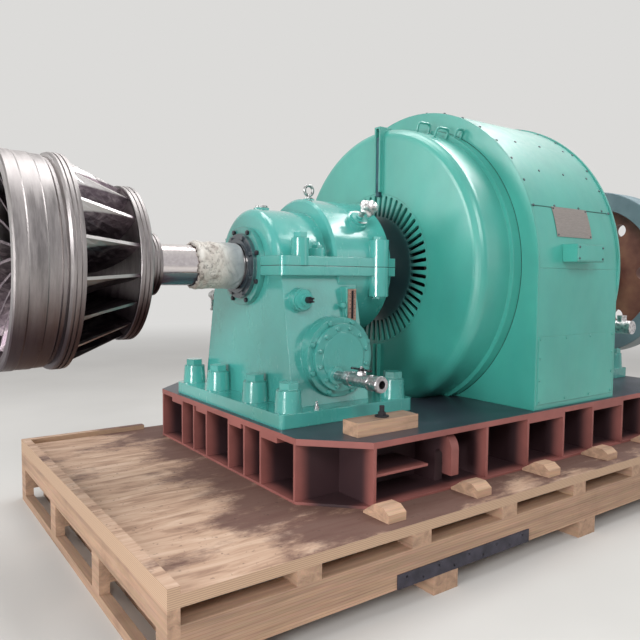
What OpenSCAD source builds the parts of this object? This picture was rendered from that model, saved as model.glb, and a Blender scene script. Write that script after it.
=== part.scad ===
// Horizontal Francis turbine generator set, bolted to a welded base frame on its timber shipping skid
// X runs along the shaft from the runner to the flywheel, the photographed side faces -Y

/* [Timber skid] */
// Height of the skid from the floor to the top of its deck
skid_h = 343; // [320:1:400]
// How far the skid runs past each end of the base frame
skid_overhang = 797; // [700:1:900]
// Width of the deck in front of the base frame's near side
near_ledge = 222; // [180:1:320]
// Width of the deck past the base frame's far side
far_ledge = 11; // [5:1:120]
// Thickness of the deck
deck_t = 45; // [30:1:60]
// Height of the strips nailed round the deck
strip_h = 28; // [15:1:40]
// Height of the cross bearers under the deck
bearer_h = 60; // [45:1:80]
// Width of a cross bearer
bearer_w = 110; // [80:1:140]
// Distance from the skid's end to the first cross bearer
bearer_inset = 552; // [400:1:600]
// Spacing of the cross bearers
bearer_pitch = 575; // [450:1:650]
// Height of the four long beams
beam_h = 150; // [120:1:170]
// Width of a long beam
beam_w = 100; // [80:1:130]
// Thickness of the rails and posts at the skid's ends
end_board_t = 45; // [30:1:60]
// Height of the top rail at each end
end_rail_h = 95; // [70:1:110]
// Width of the cross runners on the floor
foot_w = 150; // [100:1:200]
// Length of the steel strap plate on the near beam
strap_l = 860; // [500:1:1100]
// Thickness of the steel strap plate
strap_t = 6; // [3:1:10]
// Height of the timber packing block on the base plate
block_h = 66; // [50:1:90]

/* [Base frame] */
// How far the base frame stands out past the enclosure on each side
frame_margin = 24; // [16:1:40]
// Height of the base frame
frame_h = 300; // [280:1:340]
// Length of the cut at each corner
frame_cut = 248; // [200:1:270]
// Thickness of the top plate
top_plate_t = 30; // [20:1:40]
// Thickness of the bottom plate
bottom_plate_t = 12; // [8:1:20]
// Thickness of the upright plates
web_t = 16; // [10:1:20]
// Side web of the frame from the edge of the top plate
side_web_inset = 259; // [239:1:289]
// Thickness of the machined pads under the top plate
pad_t = 25; // [15:1:35]
// Thickness of a lifting hook
hook_t = 52; // [40:1:70]
// Width of the slot of a lifting hook
hook_slot = 47; // [35:1:60]

/* [Bearing pedestals] */
// Height of the shaft axis over the top plate
axis_h = 782; // [770:1:800]
// Length of a pedestal foot
foot_l = 850; // [840:1:880]
// Half width of a pedestal foot
foot_half = 610; // [600:1:640]
// Height of a pedestal foot
foot_h = 70; // [55:1:90]
// Distance from the end of the base frame to the foot
foot_inset = 30; // [20:1:60]
// Height of the bosses for the holding down bolts
boss_h = 105; // [80:1:125]
// Distance from the shaft axis to the outer holding down bolts
outer_bolt_y = 540; // [525:1:541]
// Distance from the shaft axis to the inner holding down bolts
inner_bolt_y = 214; // [190:1:240]
// Thickness of each flange at the split of the housing
split_t = 50; // [35:1:60]
// Half width of the split flange
split_half = 420; // [405:1:440]
// Radius of the arch over the shaft seal
arch_r = 317; // [300:1:330]
// Radius of the bearing drum
drum_r = 393; // [380:1:400]
// Radius of the round boss on the side of the housing
side_boss_r = 208; // [190:1:215]
// Radius of the round cover on the side of the housing
side_cover_r = 176; // [150:1:182]
// Length of the drain valve past the side cover
valve_reach = 366; // [300:1:400]
// Bore of the drain valve
valve_bore = 40; // [30:1:46]

/* [Generator] */
// Gap between the bearing drum and the rib of the front cover
front_gap = 166; // [60:1:200]
// Gap between the rear wall's ring and the rear pedestal's foot
rear_gap = 22; // [15:1:200]
// Length of the enclosure along the shaft
enclosure_l = 786; // [770:1:800]
// Radius of the round roof, which is also half the width of the enclosure
enclosure_r = 1005; // [990:1:1010]
// Thickness of the enclosure's plates
sheet_t = 8; // [5:1:12]
// Thickness of the front and rear walls
wall_t = 12; // [8:1:16]
// Width of the front wall round the front cover
cover_margin = 135; // [110:1:170]
// How far the front cover stands out from the front wall
cover_reach = 299; // [285:1:310]
// Radius of the rounded edge of the front cover
cover_round = 62; // [40:1:70]
// Number of slots in the vent ring
slot_count = 56; // [40:1:60]
// Width of a vent slot
slot_w = 22; // [16:1:24]
// Radius to the outer ends of the vent slots
slot_outer_r = 462; // [440:1:480]
// Radius to the inner ends of the vent slots
slot_inner_r = 330; // [300:1:360]

/* [Runner] */
// Distance that the runner's outlet stands past the end of the base frame
runner_reach = 1085; // [1060:1:1120]
// Outer radius of the band's sealing flange
band_r = 494; // [490:1:510]
// Outer radius of the crown
crown_r = 374; // [370:1:390]
// Number of runner blades
blade_count = 17; // [13:1:19]
// Thickness of a blade at its middle, measured round the axis
blade_t = 22; // [16:1:26]
// Angle that a blade turns through along the crown
wrap_crown = 52; // [35:1:60]
// Angle that a blade turns through along the band
wrap_band = 36; // [25:1:45]

/* [Shaft and flywheel] */
// Radius of the bare shaft behind the runner
shaft_r = 106; // [100:1:110]
// Radius of the shaft in the bearings
journal_r = 118; // [114:1:122]
// Thickness of the protective wrap on the shaft
wrap_t = 9; // [5:1:12]
// Outer radius of the flywheel
flywheel_r = 687; // [660:1:700]
// Inner radius of the flywheel's rim
flywheel_rim_r = 540; // [520:1:560]
// Width of the flywheel's rim
flywheel_w = 240; // [200:1:260]
// Radius of the holes in the flywheel's web
flywheel_hole_r = 52; // [40:1:60]

/* [Hidden] */
$fn = 72;

// Small clearances
fit = 0.3;
run_gap = 6;
tiny = 1;

// Sizes that follow from those above
drum_overhang = 45;
rib_depth = 26;
rib_y = [-66, -13];
rear_ring_l = 16;
rear_ring_h = 10;
cover_r = enclosure_r - cover_margin;
foot_end = foot_inset + foot_l;
cover_face_x = foot_end + drum_overhang + front_gap + rib_depth;
enclosure_x = cover_face_x + cover_reach;
rear_x = enclosure_x + enclosure_l;
frame_l = rear_x + rear_ring_l + rear_gap + foot_end;
frame_w = 2 * (enclosure_r + frame_margin);
skid_near = frame_w / 2 + near_ledge;
skid_far = frame_w / 2 + far_ledge;

// Where the machine stands: its own zero is the end of the base frame, the shaft axis and the top plate
skid_l = frame_l + 2 * skid_overhang;
skid_w = skid_near + skid_far;
machine_x = -(frame_l + skid_overhang - runner_reach) / 2;
machine_y = (skid_near + strap_t - skid_far) / 2;
machine_z = skid_h + frame_h;
half_w = frame_w / 2;
side_web_y = half_w - side_web_inset;

// Heights of the skid's layers over the floor
deck_z = skid_h - deck_t;
bearer_z = deck_z - bearer_h;
beam_z = bearer_z - beam_h;
end_rail_z = deck_z - end_rail_h;

// Pedestal body
body_x0 = 180;
body_x1 = 655;
body_flare = 6;
body_top_half = 362;
body_low_half = 495;
drum_x = 507;
drum_end = foot_end + drum_overhang;
drum_end_rear = foot_end;
split_x = 150;
boss_inset = 86;
boss_r0 = min(69, foot_half - outer_bolt_y - 1);
boss_r1 = boss_r0 - 7;
cover_x = 457;
cover_z = axis_h - 472;
side_boss_y = 508;
cover_t = 26;
socket_l = 22;
pipe_x = 403;
pipe_z = cover_z - 88;
rear_pipe_z = 2 * cover_z - pipe_z;
port_x = 270;
port_z = axis_h - 174;
gauge_x = 583;
gauge_z0 = axis_h - 288;
gauge_h = 168;
pad_y = 436;
cap_bolt_x = [287, 806];
cap_boss_h = [144, 152];
cap_head_h = [28, 18];
cap_head_r = [38, 38];
cap_bolt_y = [380, drum_r + 4];
cap_boss_r = [46, 57];
low_boss_h = 164;
pocket_x = 422;
seal_r = 214;
screw_r = 22;

// Runner
crown_face_x = -548;
crown_back_x = -490;
collar_x = -360;
collar_r = 157;
band_back_x = -815;
stream_steps = 12;
span_steps = 4;

// Shaft stations
wrap_x0 = -130;
wrap_x1 = 104;
rotor_x0 = cover_face_x + 80;
rotor_x1 = rear_x - 52;
rotor_shaft_r = 170;
flywheel_x = frame_l + 430;
shaft_end_x = flywheel_x + flywheel_w + 45;

module machine() translate([machine_x, machine_y, machine_z]) children();

// A solid turned about the shaft axis, from points of station and radius
module turned(points) translate([0, 0, axis_h]) rotate([0, 90, 0]) rotate_extrude() polygon([
    for (p = points) [p[1], p[0]]
]);

module bar_x(x0, x1, r) translate([x0, 0, axis_h]) rotate([0, 90, 0]) cylinder(h = x1 - x0, r = r);

module ring_x(x0, x1, outer, inner) turned([[x0, inner], [x0, outer], [x1, outer], [x1, inner]]);

// A peg that points to -Y
module peg_y(x, y, z, length, r) translate([x, y, z]) rotate([90, 0, 0]) cylinder(h = length, r = r);

module hex_y(x, y, z, length, r) translate([x, y, z]) rotate([90, 0, 0]) cylinder(h = length, r = r, $fn = 6);

module box(x0, x1, y0, y1, z0, z1) translate([x0, y0, z0]) cube([x1 - x0, y1 - y0, z1 - z0]);

module both_sides() {
    children();
    mirror([0, 1, 0]) children();
}

module at_rear() translate([frame_l, 0, 0]) mirror([1, 0, 0]) children();

// A plate with round upright corners
module round_plate(x0, x1, half, z0, z1, r) {
    box(x0 + r, x1 - r, -half, half, z0, z1);
    box(x0, x1, -half + r, half - r, z0, z1);
    for (x = [x0 + r, x1 - r], y = [-half + r, half - r]) translate([x, y, z0]) cylinder(h = z1 - z0, r = r);
}

// Timber skid
beam_y = [for (i = [0:3]) -skid_near + i * (skid_w - beam_w) / 3];

module skid_deck() color("burlywood") machine() {
    z = deck_z - machine_z;
    box(-skid_overhang, skid_l - skid_overhang, -skid_near, skid_far, z, z + deck_t);
    for (x = [-skid_overhang, skid_l - skid_overhang - end_board_t])
        box(x, x + end_board_t, -skid_near, skid_far, z + deck_t, z + deck_t + strip_h);
    for (x = [-skid_overhang, frame_l + end_board_t])
        box(x, x + skid_overhang - end_board_t, skid_far - end_board_t, skid_far,
            z + deck_t, z + deck_t + strip_h);
}

module skid_bearers() color("tan") machine() {
    count = floor((skid_l - 2 * bearer_inset) / bearer_pitch) + 1;
    for (i = [0:count - 1]) {
        x = bearer_inset - skid_overhang - bearer_w / 2 + i * bearer_pitch;
        box(x, x + bearer_w, -skid_near, skid_far, bearer_z - machine_z, deck_z - machine_z);
    }
}

module skid_beams() color("tan") machine() {
    for (y = beam_y)
        box(end_board_t - skid_overhang, skid_l - skid_overhang - end_board_t, y, y + beam_w,
            beam_z - machine_z, bearer_z - machine_z);
}

foot_pitch = (skid_l - 2 * end_board_t - 2 * foot_w) / 4;

module skid_runners() color("burlywood") machine() {
    for (i = [0:4]) {
        x = -skid_overhang + end_board_t + foot_w / 2 + i * foot_pitch;
        box(x, x + foot_w, -skid_near, skid_far, -machine_z, beam_z - machine_z);
    }
}

module skid_end_frames() color("burlywood") machine() {
    for (x = [-skid_overhang, skid_l - skid_overhang - end_board_t]) {
        box(x, x + end_board_t, -skid_near, skid_far, end_rail_z - machine_z, deck_z - machine_z);
        box(x, x + end_board_t, -skid_near, skid_far, -machine_z, end_board_t - machine_z);
        for (y = beam_y)
            box(x, x + end_board_t, y, y + beam_w, end_board_t - machine_z, end_rail_z - machine_z);
    }
}

// Strap plate bolted on the face of the near beam
module skid_strap_plate() color("dimgray") machine()
    box(190, 190 + strap_l, -skid_near - strap_t, -skid_near, beam_z - machine_z, beam_z - machine_z + 62);

// Wedges driven against the frame, and the packing block with its stud
module timber_chocks() color("burlywood") machine() {
    for (i = [0:4])
        translate([190 + i * 550, -half_w - fit, -frame_h]) rotate([90, 0, 90])
            linear_extrude(100) polygon([[0, 0], [0, 10], [-72, 60], [-130, 60], [-165, 36], [-165, 0]]);
    difference() {
        box(240, 615, -925, -815, 0, block_h);
        translate([430, -870, -tiny]) cylinder(h = block_h + 2 * tiny, r = 12 + fit);
    }
    translate([430, -870, 0]) cylinder(h = block_h + 52, r = 12);
    translate([430, -870, block_h]) difference() {
        cylinder(h = 6, r = 34);
        translate([0, 0, -tiny]) cylinder(h = 8, r = 12 + fit);
    }
    translate([430, -870, block_h + 6]) difference() {
        cylinder(h = 16, r = 20, $fn = 6);
        translate([0, 0, -tiny]) cylinder(h = 18, r = 12 + fit);
    }
}

// Base frame
module frame_outline() {
    polygon([
        [0, frame_cut - half_w], [frame_cut, -half_w], [frame_l - frame_cut, -half_w],
        [frame_l, frame_cut - half_w], [frame_l, half_w - frame_cut], [frame_l - frame_cut, half_w],
        [frame_cut, half_w], [0, half_w - frame_cut]
    ]);
}

end_web_y = [134, 304, 468];
stiffener_x = [frame_cut, foot_end + 114, enclosure_x - 88, enclosure_x + 236, enclosure_x + 528, rear_x + 68,
               frame_l - 520, frame_l - frame_cut - web_t];
hook_x = [740, frame_l - 430];
rib_l = 352;
web_z0 = bottom_plate_t - frame_h;
web_z1 = -top_plate_t;

module frame_top_plate() color("firebrick") machine() {
    translate([0, 0, -top_plate_t]) linear_extrude(top_plate_t) frame_outline();
    pad_z = -top_plate_t - pad_t;
    both_sides() for (x = [0, foot_end - 180, frame_l - foot_end, frame_l - 180]) {
        box(x, x + 180, end_web_y[0] + web_t / 2, 270, pad_z, -top_plate_t);
        box(x, x + 180, end_web_y[2] + web_t / 2, 620, pad_z, -top_plate_t);
    }
    both_sides() for (i = [2, 4])
        box(stiffener_x[i] + web_t, stiffener_x[i + 1], half_w - 120, half_w, pad_z, -top_plate_t);
}

module frame_bottom_plate() color("firebrick") machine()
    translate([0, 0, -frame_h]) linear_extrude(bottom_plate_t) frame_outline();

module frame_long_plates() color("indianred") machine() both_sides() {
    for (y = concat(end_web_y, [side_web_y])) box(0, frame_l, y - web_t / 2, y + web_t / 2, web_z0, web_z1);
}

module frame_stiffeners() color("firebrick") machine() both_sides() {
    y0 = side_web_y + web_t / 2;
    for (x = stiffener_x) box(x, x + web_t, y0, half_w, web_z0, web_z1);
    box(stiffener_x[0] + web_t, stiffener_x[0] + rib_l, y0, half_w - 18, -166, -154);
}

// Hook plate with a downward slot for the sling, hanging from the top plate
module hook_outline() {
    inner = side_web_y + web_t / 2;
    leg = 61;
    slot_y = half_w - leg - hook_slot;
    slot_z = -146;
    round = 84;
    difference() {
        union() {
            translate([inner, web_z0]) square([slot_y - inner, web_z1 - web_z0]);
            translate([slot_y, -236]) square([half_w - round - slot_y, web_z1 + 236]);
            translate([slot_y, -236]) square([half_w - slot_y, web_z1 + 236 - round]);
            translate([half_w - round, web_z1 - round]) circle(r = round);
        }
        translate([slot_y, -300]) square([hook_slot, 300 + slot_z]);
        translate([slot_y + hook_slot / 2, slot_z]) circle(d = hook_slot);
    }
}

module lifting_hooks() color("indianred") machine() both_sides()
    for (x = hook_x) translate([x, 0, 0]) rotate([90, 0, 90]) linear_extrude(hook_t) hook_outline();

// Bearing pedestal, lower casting
module body_block() {
    rise = axis_h - foot_h;
    intersection() {
        translate([body_x0 - body_flare - tiny, 0, foot_h]) rotate([90, 0, 90]) linear_extrude(700)
            polygon([[-body_low_half, 0], [body_low_half, 0], [body_top_half, rise], [-body_top_half, rise]]);
        translate([0, 700, foot_h]) rotate([90, 0, 0]) linear_extrude(1400)
            polygon([[body_x0 - body_flare, 0], [body_x1 + body_flare, 0], [body_x1, rise], [body_x0, rise]]);
    }
}

module bore(end) {
    bar_x(split_x - 60, body_x0, seal_r + fit);
    bar_x(split_x - 60, end + 60, journal_r + fit);
    bar_x(split_x - 60, body_x0 + 60, journal_r + 26);
    bar_x(end - 60, end + 60, journal_r + 26);
}

module pedestal(end) {
    difference() {
        union() {
            round_plate(foot_inset, foot_end, foot_half, 0, foot_h, 24);
            body_block();
            intersection() {
                union() {
                    turned([[body_x1 - 120, 0], [body_x1 - 120, drum_r], [end - 22, drum_r],
                            [end, drum_r - 22], [end, 0]]);
                    round_plate(split_x, end, split_half, axis_h - split_t, axis_h, 26);
                }
                box(0, 1200, -600, 600, foot_h, axis_h);
            }
            for (x = [foot_inset + boss_inset, foot_end - boss_inset],
                 y = [-outer_bolt_y, -inner_bolt_y, inner_bolt_y, outer_bolt_y])
                translate([x, y, foot_h]) cylinder(h = boss_h, r1 = boss_r0, r2 = boss_r1);
            both_sides() {
                peg_y(cover_x, 0, cover_z, side_boss_y, side_boss_r);
                peg_y(port_x, 0, port_z, pad_y, 60);
                box(gauge_x - 34, gauge_x + 34, -pad_y, 0, gauge_z0 - 12, gauge_z0 + gauge_h + 12);
                translate([cap_bolt_x[1], -cap_bolt_y[1], axis_h - low_boss_h])
                    cylinder(h = low_boss_h, r = cap_boss_r[1]);
            }
        }
        bore(end);
    }
}

// Upper casting: an arch over the seal that steps up to the bearing drum
module cap(end) {
    round = 42;
    difference() {
        union() {
            intersection() {
                union() {
                    turned(concat(
                        [[body_x0, 0], [body_x0, arch_r - round]],
                        [for (a = [15:15:90])
                            [body_x0 + round - round * cos(a), arch_r - round + round * sin(a)]],
                        [[drum_x, arch_r], [drum_x, drum_r - 14], [drum_x + 14, drum_r], [end - 26, drum_r],
                         [end, drum_r - 26], [end, 0]]
                    ));
                    round_plate(split_x, end, split_half, axis_h, axis_h + split_t, 26);
                    both_sides() {
                        for (i = [0:1]) translate([cap_bolt_x[i], -cap_bolt_y[i], axis_h])
                            cylinder(h = cap_boss_h[i], r = cap_boss_r[i]);
                        translate([pocket_x, 42 - cap_bolt_y[0], axis_h]) cylinder(h = 96, r = 46);
                    }
                    translate([0, 0, axis_h]) rotate([-40, 0, 0]) translate([718, 0, 0])
                        rotate([90, 0, 0]) cylinder(h = drum_r + 26, r = 62);
                    translate([600, 0, axis_h]) cylinder(h = drum_r + 8, r = 34);
                    translate([279, 0, axis_h]) cylinder(h = arch_r + 9, r = 44);
                }
                box(0, 1200, -600, 600, axis_h, axis_h + 600);
            }
        }
        bore(end);
    }
}

module seal() {
    x = body_x0;
    ring_x(x - 32, x, seal_r, journal_r + run_gap);
    ring_x(x - 52, x - 32, 176, journal_r + run_gap);
    ring_x(x - 64, x - 52, 148, journal_r + run_gap);
    for (a = [22.5:45:360]) translate([x - 52, 0, axis_h]) rotate([a, 0, 0]) translate([0, 0, 160])
        rotate([0, -90, 0]) cylinder(h = 10, r = 11, $fn = 6);
}

// Holding down bolts, cap bolts and the dome nut
module pedestal_bolts() {
    for (x = [foot_inset + boss_inset, foot_end - boss_inset],
         y = [-outer_bolt_y, -inner_bolt_y, inner_bolt_y, outer_bolt_y])
        translate([x, y, foot_h + boss_h]) {
            cylinder(h = 5, r = boss_r1 - 5);
            translate([0, 0, 5]) cylinder(h = 33, r = boss_r1 - 9, $fn = 6);
        }
    both_sides() {
        for (i = [0:1]) translate([cap_bolt_x[i], -cap_bolt_y[i], axis_h + cap_boss_h[i]])
            cylinder(h = cap_head_h[i], r = cap_head_r[i], $fn = 6);
        translate([cap_bolt_x[1], -cap_bolt_y[1], axis_h - low_boss_h - 12])
            cylinder(h = 12, r = cap_head_r[1], $fn = 6);
        translate([pocket_x, 42 - cap_bolt_y[0], axis_h + 96]) {
            cylinder(h = 18, r = 30, $fn = 6);
            translate([0, 0, 18]) cylinder(h = 14, r1 = 24, r2 = 14);
        }
    }
}

module side_cover() {
    peg_y(cover_x, -side_boss_y, cover_z, cover_t, side_cover_r);
    peg_y(cover_x, -side_boss_y - cover_t, cover_z, 5, side_cover_r - 44);
    for (a = [15:30:359])
        hex_y(cover_x + (side_cover_r - screw_r) * cos(a), -side_boss_y - cover_t,
              cover_z + (side_cover_r - screw_r) * sin(a), 9, 11);
}

module pipe_socket(z) peg_y(pipe_x, -side_boss_y - cover_t, z, socket_l, 46);

module front_pedestal() color("mediumaquamarine") machine() pedestal(drum_end);

module front_cap() color("mediumaquamarine") machine() cap(drum_end);

module front_seal() color("cadetblue") machine() seal();

module front_bolts() color("mediumaquamarine") machine() pedestal_bolts();

module front_side_cover() color("mediumaquamarine") machine() {
    side_cover();
    pipe_socket(pipe_z);
    mirror([0, 1, 0]) side_cover();
}

// Level gauge on its pad, and the temperature port with its two pronged plug
module front_instruments() color("peru") machine() {
    box(gauge_x - 25, gauge_x + 25, -pad_y - 9, -pad_y, gauge_z0, gauge_z0 + gauge_h);
    peg_y(port_x, -pad_y, port_z, 14, 50);
    peg_y(port_x, -pad_y - 14, port_z, 24, 30);
    translate([port_x, -pad_y - 38, port_z]) rotate([90, 0, 0]) cylinder(h = 26, r = 17);
    for (z = [-8, 8]) peg_y(port_x + 3, -pad_y - 64, port_z + z, 26, 5);
}

// Eyebolt, cap plug and the wrapped sensor on the drum
module eyebolt(x, base) {
    translate([x, 0, base]) {
        cylinder(h = 8, r = 24);
        cylinder(h = 22, r = 11);
        translate([0, 0, 50]) rotate([90, 0, 0]) rotate_extrude() translate([29, 0]) circle(r = 9, $fn = 24);
    }
}

module cap_fittings() {
    eyebolt(600, axis_h + drum_r + 8);
    translate([279, 0, axis_h + arch_r + 9]) cylinder(h = 12, r = 34);
    translate([0, 0, axis_h]) rotate([-40, 0, 0]) translate([718, 0, 0]) rotate([90, 0, 0]) {
        translate([0, 0, drum_r + 26]) cylinder(h = 14, r = 50);
        translate([0, 0, drum_r + 40]) cylinder(h = 60, r = 15);
        translate([16, 0, drum_r + 116]) sphere(r = 36, $fn = 48);
    }
}

module front_cap_fittings() color("lightgray") machine() cap_fittings();

// Drain valve: nipple, union, body and outlet, threaded into the side cover
valve_y = -side_boss_y - cover_t - socket_l;
stem_y = valve_y - 190;

module drain_valve() color("silver") machine() difference() {
    union() {
        peg_y(pipe_x, valve_y, pipe_z, 80, 26);
        hex_y(pipe_x, valve_y - 80, pipe_z, 40, 40);
        peg_y(pipe_x, valve_y - 120, pipe_z, 140, 33);
        hex_y(pipe_x, valve_y - 260, pipe_z, 34, 40);
        peg_y(pipe_x, valve_y - 294, pipe_z, valve_reach - socket_l - 294, 37);
        translate([pipe_x, stem_y, pipe_z]) cylinder(h = 48, r = 20);
        translate([pipe_x, stem_y, pipe_z + 48]) cylinder(h = 22, r = 7);
    }
    peg_y(pipe_x, valve_y + tiny, pipe_z, valve_reach, valve_bore / 2);
}

// Wing lever that turns on the valve's upright stem
module valve_lever() color("gainsboro") machine() translate([pipe_x, stem_y, pipe_z + 48 + fit])
    difference() {
        union() {
            cylinder(h = 14, r = 15);
            box(-8, 8, -62, 62, 3, 11);
            for (s = [-1, 1]) translate([0, s * 62, 3]) cylinder(h = 8, r = 13);
        }
        translate([0, 0, -tiny]) cylinder(h = 20, r = 7 + fit);
    }

module rear_pedestal() color("mediumaquamarine") machine() at_rear() pedestal(drum_end_rear);

module rear_cap() color("mediumaquamarine") machine() at_rear() cap(drum_end_rear);

module rear_seal() color("cadetblue") machine() at_rear() seal();

module rear_bolts() color("mediumaquamarine") machine() at_rear() pedestal_bolts();

module rear_side_cover() color("mediumaquamarine") machine() at_rear() {
    both_sides() side_cover();
    pipe_socket(rear_pipe_z);
}

module rear_cap_fittings() color("lightgray") machine() at_rear() cap_fittings();

// Valve on the rear housing, wrapped for transport
module rear_valve() color("whitesmoke") machine() at_rear() {
    peg_y(pipe_x, valve_y, rear_pipe_z, 130, 26);
    peg_y(pipe_x, valve_y - 130, rear_pipe_z, 150, 46);
    translate([pipe_x, valve_y - 205, rear_pipe_z]) cylinder(h = 80, r = 30);
}

// Generator
vent_plate_t = 12;
cover_sheet_t = 10;
root_l = 67;
rib_t = 12;
root_h = 26;
handle_r = 7;
cover_hole_r = slot_outer_r + 10;
core_outer_r = cover_r - 15;
rotor_r = core_outer_r - 318;
air_gap = 10;
winding_r = core_outer_r - 170;

module over_plate() intersection() {
    children();
    box(0, frame_l, -half_w, half_w, 0, 2400);
}

module wall_outline(r) {
    translate([0, axis_h]) intersection() {
        circle(r = r);
        translate([-r, 0]) square([2 * r, r]);
    }
    translate([-r, 0]) square([2 * r, axis_h]);
}

module wall(x, hole) translate([x, 0, 0]) rotate([90, 0, 90]) linear_extrude(wall_t) difference() {
    wall_outline(enclosure_r);
    translate([0, axis_h]) circle(r = hole);
}

module enclosure_front_wall() color("mediumaquamarine") machine() over_plate()
    wall(enclosure_x, core_outer_r);

module enclosure_rear_wall() color("mediumaquamarine") machine() over_plate() {
    wall(rear_x - wall_t, rotor_shaft_r + 40);
    ring_x(rear_x, rear_x + rear_ring_l, enclosure_r + rear_ring_h, rotor_shaft_r + 40);
}

module enclosure_roof() color("aquamarine") machine() intersection() {
    ring_x(enclosure_x + wall_t, rear_x - wall_t, enclosure_r, enclosure_r - sheet_t);
    box(0, frame_l, -half_w, half_w, axis_h, 2400);
}

module enclosure_sides() color("mediumaquamarine") machine() both_sides() {
    box(enclosure_x + wall_t, rear_x - wall_t, -enclosure_r, sheet_t - enclosure_r, 0, axis_h);
    box(enclosure_x + 20, rear_x - 24, -enclosure_r - 4, -enclosure_r, 30, 405);
}

// Round cover with a rolled edge, in two halves bolted along an upright rib
module front_cover() color("mediumaquamarine") machine() over_plate() {
    outer = concat(
        [[cover_face_x, cover_hole_r]],
        [for (a = [0:15:90])
            [cover_face_x + cover_round * (1 - cos(a)), cover_r - cover_round * (1 - sin(a))]],
        [[enclosure_x - root_l, cover_r], [enclosure_x - root_l, cover_r + root_h],
         [enclosure_x, cover_r + root_h]]
    );
    inner_round = cover_round - cover_sheet_t;
    inner = concat(
        [[enclosure_x, cover_r - cover_sheet_t]],
        [for (a = [90:-15:0]) [cover_face_x + cover_round - inner_round * cos(a),
                              cover_r - cover_round + inner_round * sin(a)]],
        [[cover_face_x + cover_sheet_t, cover_hole_r]]
    );
    turned(concat(outer, inner));
    // Two upright flanges where the halves of the cover meet, with a cap over their top
    for (y = [rib_y[0], rib_y[1] - rib_t]) {
        box(cover_face_x - rib_depth, cover_face_x, y, y + rib_t,
            axis_h + cover_hole_r + 6, axis_h + cover_r - cover_round);
        box(cover_face_x - rib_depth, cover_face_x + cover_round, y, y + rib_t,
            axis_h + cover_r - cover_round, axis_h + cover_r + 2);
        box(cover_face_x - rib_depth, cover_face_x, y, y + rib_t, 0, axis_h - cover_hole_r - 6);
    }
    box(cover_face_x - rib_depth, cover_face_x + cover_round, rib_y[0], rib_y[1],
        axis_h + cover_r - 1, axis_h + cover_r + 11);
}

// Vent ring, flush with the face of the cover and lapped behind it
module vent_ring() color("teal") machine() difference() {
    x = cover_face_x;
    depth = cover_sheet_t + vent_plate_t;
    turned([[x, rotor_shaft_r - 20], [x, cover_hole_r - fit], [x + cover_sheet_t, cover_hole_r - fit],
            [x + cover_sheet_t, cover_hole_r + 22], [x + depth, cover_hole_r + 22],
            [x + depth, rotor_shaft_r - 20]]);
    for (i = [0:slot_count - 1]) translate([x - tiny, 0, axis_h]) rotate([i * 360 / slot_count, 0, 0]) {
        box(0, depth + 2 * tiny, -slot_w / 2, slot_w / 2, slot_inner_r, slot_outer_r - slot_w / 2);
        translate([0, 0, slot_outer_r - slot_w / 2]) rotate([0, 90, 0])
            cylinder(h = depth + 2 * tiny, r = slot_w / 2, $fn = 24);
    }
}

// Lifting handle of round bar with rounded corners, its feet on a surface of radius r
module loop_handle(x, angle, r, half = 48, reach = 58, bend = 22)
    translate([x, 0, axis_h]) rotate([90 - angle, 0, 0]) translate([0, 0, r]) {
        for (side = [0:1]) mirror([side, 0, 0]) {
            translate([half, 0, 0]) cylinder(h = reach - bend, r = handle_r);
            translate([half - bend, 0, reach - bend]) rotate([90, 0, 0])
                rotate_extrude(angle = 90) translate([bend, 0]) circle(r = handle_r, $fn = 20);
        }
        translate([bend - half, 0, reach]) rotate([0, 90, 0])
            cylinder(h = 2 * (half - bend), r = handle_r, $fn = 20);
    }

module cover_handles() color("mediumaquamarine") machine() {
    loop_handle(enclosure_x - 130, 74, cover_r);
    loop_handle(enclosure_x - 124, 64, cover_r);
    loop_handle(enclosure_x - root_l / 2, 61, cover_r + root_h, 26, 52, 16);
}

module terminal_box() color("mediumaquamarine") machine() difference() {
    box(enclosure_x + 222, enclosure_x + 485, -enclosure_r - 88, -enclosure_r + 40,
        axis_h + 38, axis_h + 136);
    translate([enclosure_x, 0, axis_h]) rotate([0, 90, 0])
        cylinder(h = enclosure_l, r = enclosure_r + fit, $fn = 720);
}

module stator_core() color("dimgray") machine() over_plate()
    ring_x(enclosure_x + wall_t, rear_x - wall_t, core_outer_r, rotor_r + air_gap);

module stator_winding() color("chocolate") machine() {
    ring_x(enclosure_x - 70, enclosure_x + wall_t, winding_r, rotor_r + air_gap + 13);
}

// Runner: streamlines along the crown and the band, a blade runs between them
function mix(a, b, t) = a + (b - a) * t;
function curve(p, t) = pow(1 - t, 3) * p[0] + 3 * pow(1 - t, 2) * t * p[1] + 3 * (1 - t) * t * t * p[2]
    + pow(t, 3) * p[3];
crown_line = [[crown_face_x, crown_r - 16], [crown_face_x - 62, 236], [-722, 140],
              [123 - runner_reach, 112]];
band_line = [[band_back_x, band_r - 22], [-846, band_r - 58], [-905, band_r - 72],
             [39 - runner_reach, band_r - 62]];
function crown_point(t) = curve(crown_line, t);
function band_point(t) = curve(band_line, t);

// Steps and grooves turned on the band: share of its length from the outlet, and depth below its rim
band_steps = [[0, 58], [0, 12], [0.022, 6], [0.196, 6], [0.218, 9], [0.463, 9], [0.481, 12], [0.656, 14],
              [0.693, 24], [0.744, 24], [0.767, 4], [0.811, 0], [0.841, 0], [0.841, 7], [0.863, 7],
              [0.863, 0], [0.915, 0], [0.915, 7], [0.937, 7], [0.937, 0], [1, 2]];

module runner_band() color("silver") machine() turned(concat(
    [for (i = [0:stream_steps]) band_point(i / stream_steps) + [0, fit]],
    [for (p = band_steps) [mix(-runner_reach, band_back_x, p[0]), band_r - p[1]]]
));

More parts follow.
